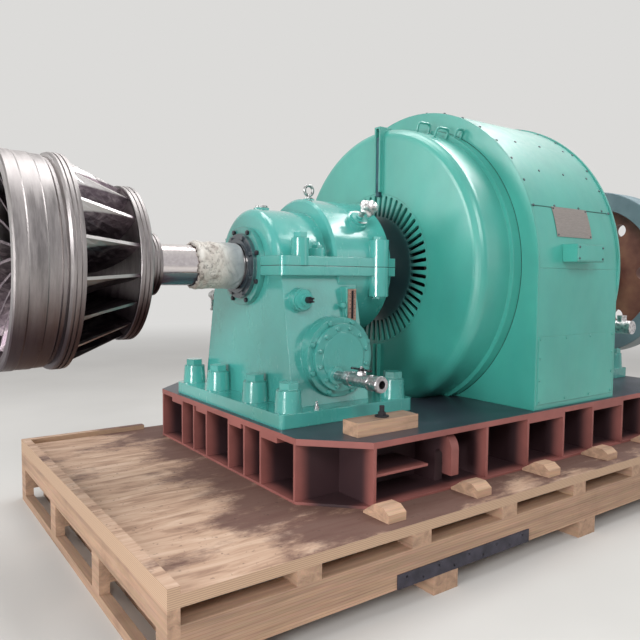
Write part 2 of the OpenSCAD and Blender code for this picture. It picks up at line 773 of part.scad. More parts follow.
module runner_crown() color("slategray") machine() turned(concat(
    [[93 - runner_reach, 0], [93 - runner_reach, 74], [101 - runner_reach, 96]],
    [for (i = [stream_steps:-1:0]) crown_point(i / stream_steps) - [0, fit]],
    [[crown_face_x, crown_r - 3], [crown_face_x + 3, crown_r], [-531, crown_r], [-531, crown_r - 7],
     [-526, crown_r - 7], [-526, crown_r], [-511, crown_r], [-511, crown_r - 7], [-506, crown_r - 7],
     [-506, crown_r], [crown_back_x - 3, crown_r], [crown_back_x, crown_r - 3],
     [crown_back_x, collar_r + 12], [crown_back_x + 14, collar_r]],
    [for (i = [0:4], p = [[0, 0], [0, -6], [6, -6], [6, 0]])
        [collar_x - 84 + i * 16 + p[0], collar_r + p[1]]],
    [[collar_x, collar_r], [collar_x, 0]]
));

// Blade angle and thickness along the stream, from the inlet at 0 to the outlet at 1
function blade_turn(t, s) = -mix(wrap_crown, wrap_band, s) * (0.62 * t + 0.38 * t * t);
function blade_half(t) = blade_t * (0.22 + 0.28 * sqrt(sin(180 * min(1, t * 0.92 + 0.04))));
function root_lift(r, turn) = r * (1 - cos(turn)) + 2 * fit;
function blade_point(t, s, side) =
    let (c = crown_point(t), b = band_point(t), lift = root_lift(c[1], wrap_crown / stream_steps),
         root = c + [-0.2 * fit, lift], q = mix(root, b, s),
         a = blade_turn(t, s) + side * blade_half(t) / q[1] * 180 / PI)
    [q[0], -q[1] * cos(a), q[1] * sin(a)];

module blade() {
    n = stream_steps;
    m = span_steps;
    row = 2 * (m + 1);
    points = [for (i = [0:n], k = [0:row - 1])
        let (j = k <= m ? k : row - 1 - k) blade_point(i / n, j / m, k <= m ? 1 : -1)];
    polyhedron(points, concat(
        [for (i = [0:n - 1], k = [0:row - 1]) let (a = i * row + k, b = i * row + (k + 1) % row)
            [a, b, b + row]],
        [for (i = [0:n - 1], k = [0:row - 1]) let (a = i * row + k, b = i * row + (k + 1) % row)
            [a, b + row, a + row]],
        [for (j = [0:m - 1]) [j, row - 1 - j, row - 2 - j]],
        [for (j = [0:m - 1]) [j, row - 2 - j, j + 1]],
        [for (j = [0:m - 1]) let (o = n * row) [o + j, o + row - 2 - j, o + row - 1 - j]],
        [for (j = [0:m - 1]) let (o = n * row) [o + j, o + j + 1, o + row - 2 - j]]
    ), convexity = 6);
}

module runner_blades() color("darkslategray") machine() translate([0, 0, axis_h])
    for (i = [0:blade_count - 1]) rotate([i * 360 / blade_count + 9, 0, 0]) blade();

// Shaft, its wrap, the flywheel and the generator's rotor
module shaft() color("lightsteelblue") machine() turned([
    [collar_x, 0], [collar_x, shaft_r], [wrap_x0 - 12, shaft_r], [wrap_x0 - 12, journal_r],
    [rotor_x0 - 60, journal_r],
    [rotor_x0 - 60, rotor_shaft_r - 30], [rotor_x0, rotor_shaft_r - 30], [rotor_x0, rotor_shaft_r],
    [rotor_x1, rotor_shaft_r], [rotor_x1, journal_r], [frame_l + 90, journal_r], [frame_l + 90, shaft_r],
    [shaft_end_x, shaft_r], [shaft_end_x, 0]
]);

module shaft_wrap() color("antiquewhite") machine() ring_x(wrap_x0, wrap_x1, journal_r + wrap_t, journal_r);

module flywheel() color("sienna") machine() difference() {
    web = 36;
    mid = flywheel_x + flywheel_w / 2;
    turned([
        [mid - web, flywheel_rim_r - 12], [flywheel_x + 12, flywheel_rim_r], [flywheel_x, flywheel_rim_r + 8],
        [flywheel_x, flywheel_r - 6], [flywheel_x + 6, flywheel_r], [flywheel_x + flywheel_w - 6, flywheel_r],
        [flywheel_x + flywheel_w, flywheel_r - 6], [flywheel_x + flywheel_w, flywheel_rim_r + 8],
        [flywheel_x + flywheel_w - 12, flywheel_rim_r], [mid + web, flywheel_rim_r - 12], [mid + web, 232],
        [flywheel_x + flywheel_w + 10, 214], [flywheel_x + flywheel_w + 10, shaft_r],
        [flywheel_x - 30, shaft_r], [flywheel_x - 30, 214], [mid - web, 232]
    ]);
    for (a = [0:60:359]) translate([mid - web - tiny, 0, axis_h]) rotate([a, 0, 0]) translate([0, -411, 0])
        rotate([0, 90, 0]) cylinder(h = 2 * web + 2 * tiny, r = flywheel_hole_r);
}

module generator_rotor() color("gray") machine() {
    ring_x(enclosure_x + 60, rotor_x1 - 40, rotor_r, rotor_shaft_r);
    ring_x(rotor_x0 + 20, rotor_x0 + 110, 250, rotor_shaft_r);
    for (i = [0:15]) translate([rotor_x0 + 20, 0, axis_h]) rotate([i * 22.5 + 7, 0, 0])
        box(0, 90, -5, 5, 240, 440);
}

skid_deck();
skid_bearers();
skid_beams();
skid_runners();
skid_end_frames();
skid_strap_plate();
timber_chocks();
frame_top_plate();
frame_bottom_plate();
frame_long_plates();
frame_stiffeners();
lifting_hooks();
front_pedestal();
front_cap();
front_seal();
front_bolts();
front_side_cover();
front_instruments();
front_cap_fittings();
drain_valve();
valve_lever();
rear_pedestal();
rear_cap();
rear_seal();
rear_bolts();
rear_side_cover();
rear_cap_fittings();
rear_valve();
enclosure_front_wall();
enclosure_rear_wall();
enclosure_roof();
enclosure_sides();
front_cover();
vent_ring();
cover_handles();
terminal_box();
stator_core();
stator_winding();
runner_band();
runner_blades();
runner_crown();
shaft();
shaft_wrap();
flywheel();
generator_rotor();
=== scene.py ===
import random
from math import atan2, cos, exp, pi, radians, sin

import bmesh
import bpy
from bpy.props import FloatProperty, FloatVectorProperty, IntProperty, PointerProperty
from mathutils import Matrix, Vector


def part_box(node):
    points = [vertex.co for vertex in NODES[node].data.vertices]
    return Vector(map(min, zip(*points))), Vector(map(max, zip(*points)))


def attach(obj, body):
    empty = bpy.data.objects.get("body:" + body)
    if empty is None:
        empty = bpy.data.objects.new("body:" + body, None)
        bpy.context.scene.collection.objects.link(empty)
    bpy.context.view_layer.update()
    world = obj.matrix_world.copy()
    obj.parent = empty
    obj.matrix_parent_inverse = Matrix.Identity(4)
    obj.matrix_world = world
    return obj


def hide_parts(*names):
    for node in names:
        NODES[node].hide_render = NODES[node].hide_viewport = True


bl_info = {
    "name": "Hydroelectric Generator Looks",
    "version": (1, 0, 0),
    "blender": (4, 5, 0),
    "location": "3D View > Sidebar > Generator",
    "description": "Finishes, small pieces and studio for the hydroelectric generator set",
    "category": "Object",
}

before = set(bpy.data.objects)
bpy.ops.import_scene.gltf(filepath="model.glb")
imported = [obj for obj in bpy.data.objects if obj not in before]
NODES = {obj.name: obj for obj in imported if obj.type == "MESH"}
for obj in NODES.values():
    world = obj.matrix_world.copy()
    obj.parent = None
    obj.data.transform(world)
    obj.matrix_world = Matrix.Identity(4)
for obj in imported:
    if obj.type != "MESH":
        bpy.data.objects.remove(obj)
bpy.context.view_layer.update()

# The machine's own zero: front end of the base frame, shaft axis, top of the top plate
PLATE_LOW, PLATE_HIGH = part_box("frame_top_plate")
SHAFT_LOW, SHAFT_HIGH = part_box("shaft")
ZERO = Vector((PLATE_LOW.x, (SHAFT_LOW.y + SHAFT_HIGH.y) / 2, PLATE_HIGH.z))
AXIS = Vector((ZERO.x, ZERO.y, (SHAFT_LOW.z + SHAFT_HIGH.z) / 2))
LENGTH = PLATE_HIGH.x - PLATE_LOW.x
MM = 0.001
DRUM_RADIUS = 0.393
SENSOR_ANGLE = radians(40)

# Settings of a colour mix and of a soft step, and the whole of a step
COLOURS = {"data_type": "RGBA"}
SOFT = {"interpolation_type": "SMOOTHSTEP"}
WHOLE = (0.0, 1.0)


def linear(code):
    """Turn an sRGB hex value into a linear colour."""
    parts = [int(code[i:i + 2], 16) / 255 for i in (1, 3, 5)]
    return [p / 12.92 if p <= 0.04045 else ((p + 0.055) / 1.055) ** 2.4 for p in parts] + [1.0]


def rgba(colour):
    """A colour property with its alpha."""
    return (*colour, 1.0)


def shade(colour, factor):
    """A linear colour made lighter or darker, with its alpha."""
    return [min(1.0, c * factor) for c in colour[:3]] + [1.0]


def at(x, y, z):
    """A point given in millimetres from the machine's own zero."""
    return ZERO + Vector((x, y, z)) * MM


def on_side(x, y, z):
    """A point on a side face whose y is known, at a station and height in millimetres."""
    return Vector((ZERO.x + x * MM, y, ZERO.z + z * MM))


def round_roof(angle):
    """Outward direction on the near side of the roof, at an angle above level."""
    return Vector((0, -cos(angle), sin(angle)))


def on_round(x, angle, radius):
    """A point at a station along the shaft, and at an angle and radius round it, in metres."""
    return AXIS + Vector((x, 0, 0)) + round_roof(angle) * radius


def add(tree, kind, settings=(), out=None):
    """Add a shader node with its settings and links, and give the output named or the first live one. The
    kind of a maths node ends with its operation. A setting is a value, or a socket to link."""
    kind, _, operation = kind.partition(" ")
    node = tree.nodes.new("ShaderNode" + kind)
    if operation:
        node.operation = operation
    for key, value in dict(settings).items():
        if isinstance(value, bpy.types.NodeSocket):
            tree.links.new(value, node.inputs[key])
        elif key == "ramp":
            while len(node.color_ramp.elements) < len(value):
                node.color_ramp.elements.new(0.5)
            for element, (place, colour) in zip(node.color_ramp.elements, value):
                element.position = place
                element.color = linear(colour) if isinstance(colour, str) else colour
        elif isinstance(key, int) or key in node.inputs:
            coloured = isinstance(value, str) and value.startswith("#")
            node.inputs[key].default_value = linear(value) if coloured else value
        else:
            setattr(node, key, value)
    return node.outputs[out] if out else next(socket for socket in node.outputs if socket.enabled)


def wire(node, sockets):
    """Link sockets to a node's inputs."""
    for key, socket in sockets.items():
        node.id_data.links.new(socket, node.inputs[key])


def layer(tree, value, span, share, under, over):
    """Lay one colour over another. Between the two ends of the span of a value, the share of the upper
    colour goes softly from its first figure to its second."""
    mask = add(tree, "MapRange", {**SOFT, 0: value, 1: span[0], 2: span[1], 3: share[0], 4: share[1]})
    return add(tree, "Mix", {**COLOURS, 0: mask, 6: under, 7: over})


def mottled(tree, settings, place, ramp):
    """Noise, and the colours that it runs through."""
    noise = add(tree, "TexNoise", {**settings, "Vector": place})
    return noise, add(tree, "ValToRGB", {"ramp": ramp, 0: noise})


def new_material(name, values):
    """A material with its shader's own sockets set."""
    material = bpy.data.materials.new(name)
    material.use_nodes = True
    shader = material.node_tree.nodes["Principled BSDF"]
    for key, value in values.items():
        shader.inputs[key].default_value = value
    return material, material.node_tree, shader


def overlay(material, value, span, share, over):
    """Lay a colour over the base colour that a material has."""
    tree = material.node_tree
    shader = tree.nodes["Principled BSDF"]
    base = shader.inputs["Base Color"].links[0].from_socket
    wire(shader, {"Base Color": layer(tree, value, span, share, base, over)})


def coat(nodes, material):
    """Give CAD nodes a material in place of their plain one."""
    for name in nodes:
        NODES[name].data.materials.clear()
        NODES[name].data.materials.append(material)


def place_from(tree, centre=(0, 0, 0), scale=(1, 1, 1)):
    """Pattern coordinates: the object's own place, measured from a centre and stretched."""
    place = add(tree, "TexCoord", out="Object")
    moved = add(tree, "VectorMath SUBTRACT", {0: place, 1: centre})
    return add(tree, "VectorMath MULTIPLY", {0: moved, 1: scale})


def turned_place(tree, stretch=1.0):
    """Pattern coordinates for turned pieces: station along the shaft, radius and a little of the angle."""
    place = place_from(tree, AXIS)
    flat = add(tree, "VectorMath MULTIPLY", {0: place, 1: (0, 1, 1)})
    radius = add(tree, "VectorMath LENGTH", {0: flat})
    station = add(tree, "SeparateXYZ", {0: place}, "X")
    unit = add(tree, "VectorMath NORMALIZE", {0: flat})
    around = add(tree, "SeparateXYZ", {0: unit}, "Z")
    small = add(tree, "Math MULTIPLY", {0: around, 1: stretch})
    joined = add(tree, "CombineXYZ", {0: station, 1: radius, 2: small})
    across = add(tree, "VectorMath CROSS_PRODUCT", {0: unit, 1: (1, 0, 0)})
    ring = add(tree, "VectorTransform", {"vector_type": "VECTOR", "convert_from": "OBJECT", "convert_to": "WORLD",
                                         0: across})
    return {"pattern": joined, "station": station, "radius": radius, "up": around, "ring": ring}


def frame_depth(tree):
    """How far in from the base frame's edge a point lies, in metres."""
    middle, half = (PLATE_LOW + PLATE_HIGH) / 2, (PLATE_HIGH - PLATE_LOW) / 2
    place = add(tree, "VectorMath ABSOLUTE", {0: place_from(tree, middle)})
    inward = add(tree, "VectorMath SUBTRACT", {0: tuple(half), 1: place})
    parts = add(tree, "SeparateXYZ", {0: inward}).node.outputs
    return add(tree, "Math MINIMUM", {0: parts["X"], 1: parts["Y"]})


def facing_up(tree):
    """One on faces that look up, and nought on the others."""
    normal = add(tree, "NewGeometry", out="True Normal")
    height = add(tree, "SeparateXYZ", {0: normal}, "Z")
    return add(tree, "MapRange", {**SOFT, 0: height, 1: 0.7, 2: 0.9})


def plies(tree, place, pitch):
    """A wave that rises and falls once for each layer of glued wood."""
    height = add(tree, "SeparateXYZ", {0: place}, "Z")
    turns = add(tree, "Math MULTIPLY", {0: height, 1: 2 * pi / pitch})
    return add(tree, "Math SINE", {0: turns})


def colour_setting(name, description, code):
    """A colour that the user may set, with its start as an sRGB hex value."""
    return FloatVectorProperty(name=name, description=description, subtype="COLOR", size=3,
                               default=linear(code)[:3], min=0, max=1)


class GeneratorFinish(bpy.types.PropertyGroup):
    enamel: colour_setting("Enamel", "Green enamel of the castings", "#49a29a")
    sheet_enamel: colour_setting("Sheet Enamel", "Green enamel of the sheet enclosure", "#3f9f92")
    primer: colour_setting("Primer", "Red oxide primer of the base frame", "#935852")
    timber: colour_setting("Timber", "Fresh sawn timber of the skid", "#bd9a80")
    steel: colour_setting("Steel", "Machined steel of the runner and shaft", "#c2bcbb")


class GeneratorSizes(bpy.types.PropertyGroup):
    screw_radius: FloatProperty(
        name="Screw Radius", description="Radius of a sheet screw's head", default=0.009, min=0.004,
        max=0.02, subtype="DISTANCE", unit="LENGTH")
    plate_angle: FloatProperty(
        name="Plate Angle", description="Height of the nameplate's middle round the roof",
        default=radians(15.2), subtype="ANGLE", unit="ROTATION")
    crease_depth: FloatProperty(
        name="Crease Depth", description="Depth of the creases of the shaft's wrapping", default=0.007,
        min=0.0, max=0.012, subtype="DISTANCE", unit="LENGTH")
    seed: IntProperty(name="Seed", description="Start of the random numbers", default=7, min=0)


def enamel_material(name, colour, lumps, gloss, joint=False):
    """Two pack enamel, brushed on castings and sprayed on sheet: glossy with white glints along its
    rounded edges, faint clouding and orange peel, and a dark line where cap and casting meet."""
    material, tree, shader = new_material(name, {"Coat Weight": 0.85, "Coat Roughness": gloss * 0.6})
    place = place_from(tree, AXIS)
    tint = mottled(tree, {"Scale": 1.7, "Detail": 5.0}, place,
                   [(0.3, shade(colour, 0.82)), (0.7, shade(colour, 1.14))])[1]
    runs = add(tree, "TexNoise", {"Scale": 14.0, "Detail": 6.0, "Roughness": 0.65,
                                  "Vector": place_from(tree, scale=(1, 1, 0.35))})
    result = add(tree, "Mix", {**COLOURS, "blend_type": "MULTIPLY", 0: 0.07, 6: tint,
                               7: runs.node.outputs["Color"]})
    dust = add(tree, "TexNoise", {"Scale": 75.0, "Detail": 6.0, "Roughness": 0.8, "Vector": place})
    result = layer(tree, dust, (0.7, 0.76), (0.0, 0.5), result, "#2f5a57")
    if joint:
        height = add(tree, "SeparateXYZ", {0: place}, "Z")
        near = add(tree, "Math ABSOLUTE", {0: height})
        result = layer(tree, near, (0.0012, 0.0026), (0.85, 0.0), result, "#1d3434")
    rough = add(tree, "MapRange", {0: runs, 1: 0.3, 2: 0.7, 3: gloss - 0.08, 4: gloss + 0.12})
    rounded = add(tree, "Bevel", {"samples": 4, "Radius": 0.009})
    cast = add(tree, "TexNoise", {"Scale": 38.0, "Detail": 3.0, "Vector": place})
    first = add(tree, "Bump", {"Strength": lumps, "Distance": 0.004, "Height": cast, "Normal": rounded})
    peel = add(tree, "TexNoise", {"Scale": 260.0, "Detail": 2.0, "Vector": place})
    second = add(tree, "Bump", {"Strength": lumps * 0.5, "Distance": 0.0008, "Height": peel, "Normal": first})
    wire(shader, {"Base Color": result, "Roughness": rough, "Normal": second})
    return material


def seal_material(colour):
    """Cast iron seal plates: enamelled round the rim, and dark near the shaft with oil and painted shadow."""
    material = enamel_material("Oiled seal plates with painted shadow", shade(colour, 0.75), 0.15, 0.32)
    radius = turned_place(material.node_tree)["radius"]
    # Painted shadow, with some oil: the plates darken inside about 186 mm radius
    overlay(material, radius, (0.172, 0.186), (0.92, 0.0), "#2b2735")
    return material


def vent_material(colour):
    """Sprayed enamel on the slotted ring, clean at the slots' ends and darkened further in by painted shadow from
    the drum.
    """
    material = enamel_material("Vent enamel with painted shadow", colour, 0.07, 0.35)
    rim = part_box("vent_ring")[1].z - AXIS.z
    radius = turned_place(material.node_tree)["radius"]
    # Painted shadow: the ring darkens towards the drum
    overlay(material, radius, (rim - 0.2, rim - 0.05), (0.93, 0.0), "#1c2430")
    return material


def primer_material(colour):
    """Red oxide primer rolled on hot rolled plate: matt and patchy, scuffed pale in places, and darkened
    far inside the bays with painted shade, where no light gets."""
    material, tree, shader = new_material("Red oxide primer", {"Roughness": 0.6})
    place = place_from(tree)
    tint = mottled(tree, {"Scale": 3.0, "Detail": 7.0, "Roughness": 0.6}, place,
                   [(0.3, shade(colour, 0.72)), (0.72, shade(colour, 1.22))])[1]
    scuffs = add(tree, "TexNoise", {"Scale": 60.0, "Detail": 8.0, "Roughness": 0.75, "Vector": place})
    result = layer(tree, scuffs, (0.62, 0.74), (0.0, 0.4), tint, "#b98a80")
    # Painted shade: deep inside the bays the primer turns almost black
    result = layer(tree, frame_depth(tree), (0.006, 0.09), (0.0, 0.94), result, "#291a20")
    rounded = add(tree, "Bevel", {"samples": 4, "Radius": 0.003})
    bump = add(tree, "Bump", {"Strength": 0.25, "Distance": 0.0015, "Height": scuffs, "Normal": rounded})
    wire(shader, {"Base Color": result, "Normal": bump})
    return material, tree, shader, tint


def top_plate_material(colour):
    """The same primer on the edges and underside, and dark oiled steel with smears on the machined top."""
    material, tree, shader, primer = primer_material(colour)
    material.name = "Oiled top plate"
    dark = mottled(tree, {"Scale": 2.4, "Detail": 8.0, "Roughness": 0.62}, place_from(tree, AXIS),
                   [(0.3, "#22242f"), (0.55, "#31343f"), (0.75, "#4b4c58")])[1]
    facing = facing_up(tree)
    result = add(tree, "Mix", {**COLOURS, 0: facing, 6: primer, 7: dark})
    rough = add(tree, "MapRange", {0: facing, 3: 0.6, 4: 0.34})
    wire(shader, {"Base Color": result, "Roughness": rough})
    return material


def timber_material(name, colour, grain, layers=0.0):
    """Sawn softwood: growth bands along the board, glue lines where it is laminated, a little dirt and a
    rough surface."""
    material, tree, shader = new_material(name, {"Roughness": 0.78})
    place = place_from(tree)
    along = {"X": (0.55, 9, 14), "Y": (9, 0.55, 14)}[grain]
    tint = mottled(tree, {"Scale": 2.2, "Detail": 6.0, "Roughness": 0.62, "Distortion": 0.6},
                   place_from(tree, scale=along), [(0.3, shade(colour, 0.62)), (0.66, shade(colour, 1.12))])[1]
    fine = tuple(40 if stretch > 1 else 1.5 for stretch in along)
    fibres = add(tree, "TexNoise", {"Scale": 6.0, "Detail": 4.0, "Vector": place_from(tree, scale=fine)})
    result = add(tree, "Mix", {**COLOURS, "blend_type": "MULTIPLY", 0: 0.3, 6: tint,
                               7: fibres.node.outputs["Color"]})
    if layers:
        result = layer(tree, plies(tree, place, layers), (0.55, 0.95), (0.0, 0.4), result, "#7d6148")
    dirt = add(tree, "TexNoise", {"Scale": 1.8, "Detail": 8.0, "Roughness": 0.7, "Vector": place})
    result = layer(tree, dirt, (0.5, 0.76), (0.0, 0.55), result, "#6a5040")
    bump = add(tree, "Bump", {"Strength": 0.45, "Distance": 0.0012, "Height": fibres})
    wire(shader, {"Base Color": result, "Normal": bump})
    return material


def chock_material(colour):
    """Pale sawn chocks, and the blackened steel of the stud, washer and nut on the packing block."""
    material = timber_material("Sawn chocks and a blackened stud", shade(colour, 1.25), "X")
    tree = material.node_tree
    height = add(tree, "SeparateXYZ", {0: place_from(tree)}, "Z")
    block_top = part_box("timber_chocks")[1].z - 0.052
    overlay(material, height, (block_top - 0.0001, block_top + 0.0001), WHOLE, "#211e24")
    return material


def deck_material():
    """Plywood deck: dark brown patches, more of them close round the frame, and clean edges that show the plies."""
    material, tree, shader = new_material("Patched plywood deck", {"Roughness": 0.72})
    place = place_from(tree, AXIS)
    grain, veneer = mottled(tree, {"Scale": 3.0, "Detail": 6.0, "Roughness": 0.6, "Distortion": 1.0},
                            place_from(tree, AXIS, (0.9, 6.0, 8)),
                            [(0.34, "#9c7c68"), (0.47, "#ba9982"), (0.68, "#d0b39d")])
    dark_patches = add(tree, "TexNoise", {"Scale": 2.6, "Detail": 9.0, "Roughness": 0.68,
                                    "Vector": place_from(tree, AXIS, (0.8, 1.5, 1))})
    # Dark patches, more of them close round the frame
    close = add(tree, "MapRange", {0: frame_depth(tree), 1: -0.48, 2: -0.06, 3: 0.0, 4: 0.27})
    both = add(tree, "Math ADD", {0: dark_patches, 1: close})
    top = layer(tree, both, (0.54, 0.72), (0.0, 0.9), veneer, "#5a3b35")
    specks = add(tree, "TexNoise", {"Scale": 45.0, "Detail": 5.0, "Vector": place})
    top = layer(tree, specks, (0.64, 0.72), (0.0, 0.6), top, "#4a352b")
    edge = layer(tree, plies(tree, place, 0.0075), (-0.2, 0.8), WHOLE, "#bb9d82", "#a48770")
    result = add(tree, "Mix", {**COLOURS, 0: facing_up(tree), 6: edge, 7: top})
    bump = add(tree, "Bump", {"Strength": 0.3, "Distance": 0.0015, "Height": grain})
    wire(shader, {"Base Color": result, "Normal": bump})
    return material


def lathe_material(colour):
    """Stainless steel turned on a lathe: fine rings that draw the light out round the piece, bands of finer
    and coarser feed, and a painted reflection of the dark floor that darkens the underside."""
    material, tree, shader = new_material("Turned stainless steel", {"Metallic": 1.0, "Anisotropic": 0.6})
    turned = turned_place(tree, 0.05)
    feed = add(tree, "TexNoise", {"Scale": 300.0, "Detail": 3.0, "Vector": turned["pattern"]})
    bands, tint = mottled(tree, {"Scale": 34.0, "Detail": 5.0, "Roughness": 0.75}, turned["pattern"],
                          [(0.35, shade(colour, 0.52)), (0.65, shade(colour, 0.864))])
    smear = add(tree, "TexNoise", {"Scale": 2.6, "Detail": 4.0, "Vector": place_from(tree, AXIS)})
    result = layer(tree, smear, (0.5, 0.8), (0.0, 0.15), tint, "#6d6265")
    # Painted reflection: the underside turns dark purple brown, its edge made uneven by the smears
    uneven = add(tree, "Math MULTIPLY_ADD", {0: smear, 1: 0.4, 2: -0.2})
    level = add(tree, "Math ADD", {0: turned["up"], 1: uneven})
    result = layer(tree, level, (-0.05, -0.7), (0.0, 0.88), result, "#35252f")
    fine = add(tree, "MapRange", {0: bands, 1: 0.35, 2: 0.65, 3: 0.29, 4: 0.5})
    bump = add(tree, "Bump", {"Strength": 0.4, "Distance": 0.0005, "Height": feed})
    wire(shader, {"Base Color": result, "Roughness": fine, "Normal": bump, "Tangent": turned["ring"]})
    return material


def ground_material():
    """Cast stainless blades ground by hand: crossed grinder marks, dull brown heat tint, and a painted
    highlight along each inlet edge, where the thin edge faces catch the light."""
    material, tree, shader = new_material("Ground cast stainless", {"Metallic": 1.0})
    turned = turned_place(tree)
    marks, tint = mottled(tree, {"Scale": 9.0, "Detail": 8.0, "Roughness": 0.7, "Distortion": 1.5},
                          place_from(tree, AXIS, (1.0, 2.5, 2.5)),
                          [(0.3, "#40363d"), (0.5, "#64595f"), (0.72, "#8f8487")])
    # The inlet edge runs from the crown, at station -553 mm and radius 374 mm, out to the band at 449 mm
    slope = 75 / 262
    edge = 0.374 - 0.553 * slope
    line = add(tree, "Math MULTIPLY_ADD", {0: turned["station"], 1: slope, 2: turned["radius"]})
    # Painted highlight: a pale line along the inlet edges
    result = layer(tree, line, (edge - 0.012, edge - 0.004), (0.0, 0.8), tint, "#d8d4d2")
    rough = add(tree, "MapRange", {0: marks, 1: 0.3, 2: 0.7, 3: 0.28, 4: 0.5})
    grit = add(tree, "TexNoise", {"Scale": 150.0, "Detail": 3.0, "Vector": place_from(tree, AXIS)})
    bump = add(tree, "Bump", {"Strength": 0.25, "Distance": 0.001, "Height": grit})
    wire(shader, {"Base Color": result, "Roughness": rough, "Normal": bump})
    return material


def shaft_material(colour):
    """Ground and polished shaft steel: a sharp highlight along the top, a bluish painted shade below, and
    faint rings from the grinding wheel."""
    material, tree, shader = new_material("Polished shaft steel", {"Anisotropic": 0.4})
    turned = turned_place(tree, 0.1)
    polish, tint = mottled(tree, {"Scale": 90.0, "Detail": 3.0}, turned["pattern"],
                           [(0.3, shade(colour, 1.55)), (0.7, shade(colour, 1.7))])
    # Painted shade: the underside turns dark blue and less metallic
    underside_shade = add(tree, "MapRange", {**SOFT, 0: turned["up"], 1: -0.1, 2: -0.7, 3: 0.0, 4: 0.85})
    result = add(tree, "Mix", {**COLOURS, 0: underside_shade, 6: tint, 7: "#3b3c58"})
    metal = add(tree, "MapRange", {0: underside_shade, 1: 0.0, 2: 0.8, 3: 1.0, 4: 0.55})
    rough = add(tree, "MapRange", {0: polish, 1: 0.3, 2: 0.7, 3: 0.1, 4: 0.22})
    wire(shader, {"Base Color": result, "Metallic": metal, "Roughness": rough, "Tangent": turned["ring"]})
    return material


def flywheel_material():
    """Grey green enamel on the rim and brown primer on the web, patchy from a quick brush."""
    material, tree, shader = new_material("Primed flywheel iron", {"Roughness": 0.5})
    patches, web = mottled(tree, {"Scale": 6.0, "Detail": 6.0}, place_from(tree, AXIS),
                           [(0.3, "#573129"), (0.5, "#784c40"), (0.72, "#91654f")])
    rim = add(tree, "ValToRGB", {"ramp": [(0.3, "#61777f"), (0.7, "#7c9198")], 0: patches})
    result = layer(tree, turned_place(tree)["radius"], (0.541, 0.545), WHOLE, web, rim)
    bump = add(tree, "Bump", {"Strength": 0.25, "Distance": 0.002, "Height": patches})
    wire(shader, {"Base Color": result, "Normal": bump})
    return material


def plated_material(name, colour, rough):
    """Plated steel or brass fittings: dull silver with small stains, brighter where it was handled."""
    material, tree, shader = new_material(name, {"Metallic": 1.0})
    bright = linear(colour)
    spots, tint = mottled(tree, {"Scale": 40.0, "Detail": 6.0}, place_from(tree),
                          [(0.32, shade(bright, 0.6)), (0.62, bright)])
    uneven = add(tree, "MapRange", {0: spots, 1: 0.3, 2: 0.7, 3: rough + 0.15, 4: rough - 0.05})
    rounded = add(tree, "Bevel", {"samples": 4, "Radius": 0.002})
    bump = add(tree, "Bump", {"Strength": 0.2, "Distance": 0.0006, "Height": spots, "Normal": rounded})
    wire(shader, {"Base Color": tint, "Roughness": uneven, "Normal": bump})
    return material


def cap_fittings_material(enamel):
    """Zinc plated eyebolt, plug and sensor stem, dull silver against the casting; the sensor's flange was
    painted over with the drum."""
    material = plated_material("Zinc plated steel", "#b9bab9", 0.34)
    tree = material.node_tree
    turned = turned_place(tree)
    # The sensors stand more than 650 mm in from either end, on flanges that reach 41.5 mm out from the drum
    along = add(tree, "Math SUBTRACT", {0: turned["station"], 1: LENGTH / 2})
    apart = add(tree, "Math ABSOLUTE", {0: along})
    between = add(tree, "Math LESS_THAN", {0: apart, 1: LENGTH / 2 - 0.65})
    low = add(tree, "Math LESS_THAN", {0: turned["radius"], 1: DRUM_RADIUS + 0.0415})
    flange = add(tree, "Math MULTIPLY", {0: between, 1: low})
    overlay(material, flange, WHOLE, WHOLE, rgba(enamel))
    metal = add(tree, "Math SUBTRACT", {0: 1.0, 1: flange})
    wire(tree.nodes["Principled BSDF"], {"Metallic": metal})
    return material


def instrument_material(enamel):
    """Copper faced gauge and a black plastic plug on an enamelled flange, told apart by their place."""
    material, tree, shader = new_material("Gauge copper and black plug", {"Roughness": 0.35})
    place = place_from(tree, ZERO)
    parts = add(tree, "SeparateXYZ", {0: place}).node.outputs
    gauge = add(tree, "MapRange", {**SOFT, 0: parts["X"], 1: 0.5, 2: 0.51})
    plug = layer(tree, parts["Y"], (-0.478, -0.474), WHOLE, "#1d1c22", rgba(enamel))
    copper = mottled(tree, {"Scale": 60.0, "Detail": 5.0}, place, [(0.3, "#7f6459"), (0.7, "#b08c7c")])[1]
    result = add(tree, "Mix", {**COLOURS, 0: gauge, 6: plug, 7: copper})
    metal = add(tree, "Math MULTIPLY", {0: gauge, 1: 0.3})
    wire(shader, {"Base Color": result, "Metallic": metal})
    return material


def dark_material(name, first, second, rough):
    """Dull dark steel, rubber or plastic, mottled between two dark tones."""
    material, tree, shader = new_material(name, {"Roughness": rough, "Metallic": 0.4})
    scale, tint = mottled(tree, {"Scale": 18.0, "Detail": 7.0}, place_from(tree), [(0.3, first), (0.7, second)])
    bump = add(tree, "Bump", {"Strength": 0.2, "Distance": 0.001, "Height": scale})
    wire(shader, {"Base Color": tint, "Normal": bump})
    return material


def winding_material():
    """Varnished copper coils: orange brown bars with dark gaps round the ring."""
    material, tree, shader = new_material("Varnished copper winding", {"Roughness": 0.35, "Metallic": 0.3})
    waves = add(tree, "TexWave", {"Scale": 9.0, "Distortion": 2.0, "bands_direction": "DIAGONAL",
                                  "Vector": place_from(tree, AXIS)}, "Fac")
    tint = add(tree, "ValToRGB", {"ramp": [(0.35, "#3a241c"), (0.6, "#c98a60")], 0: waves})
    wire(shader, {"Base Color": tint})
    return material


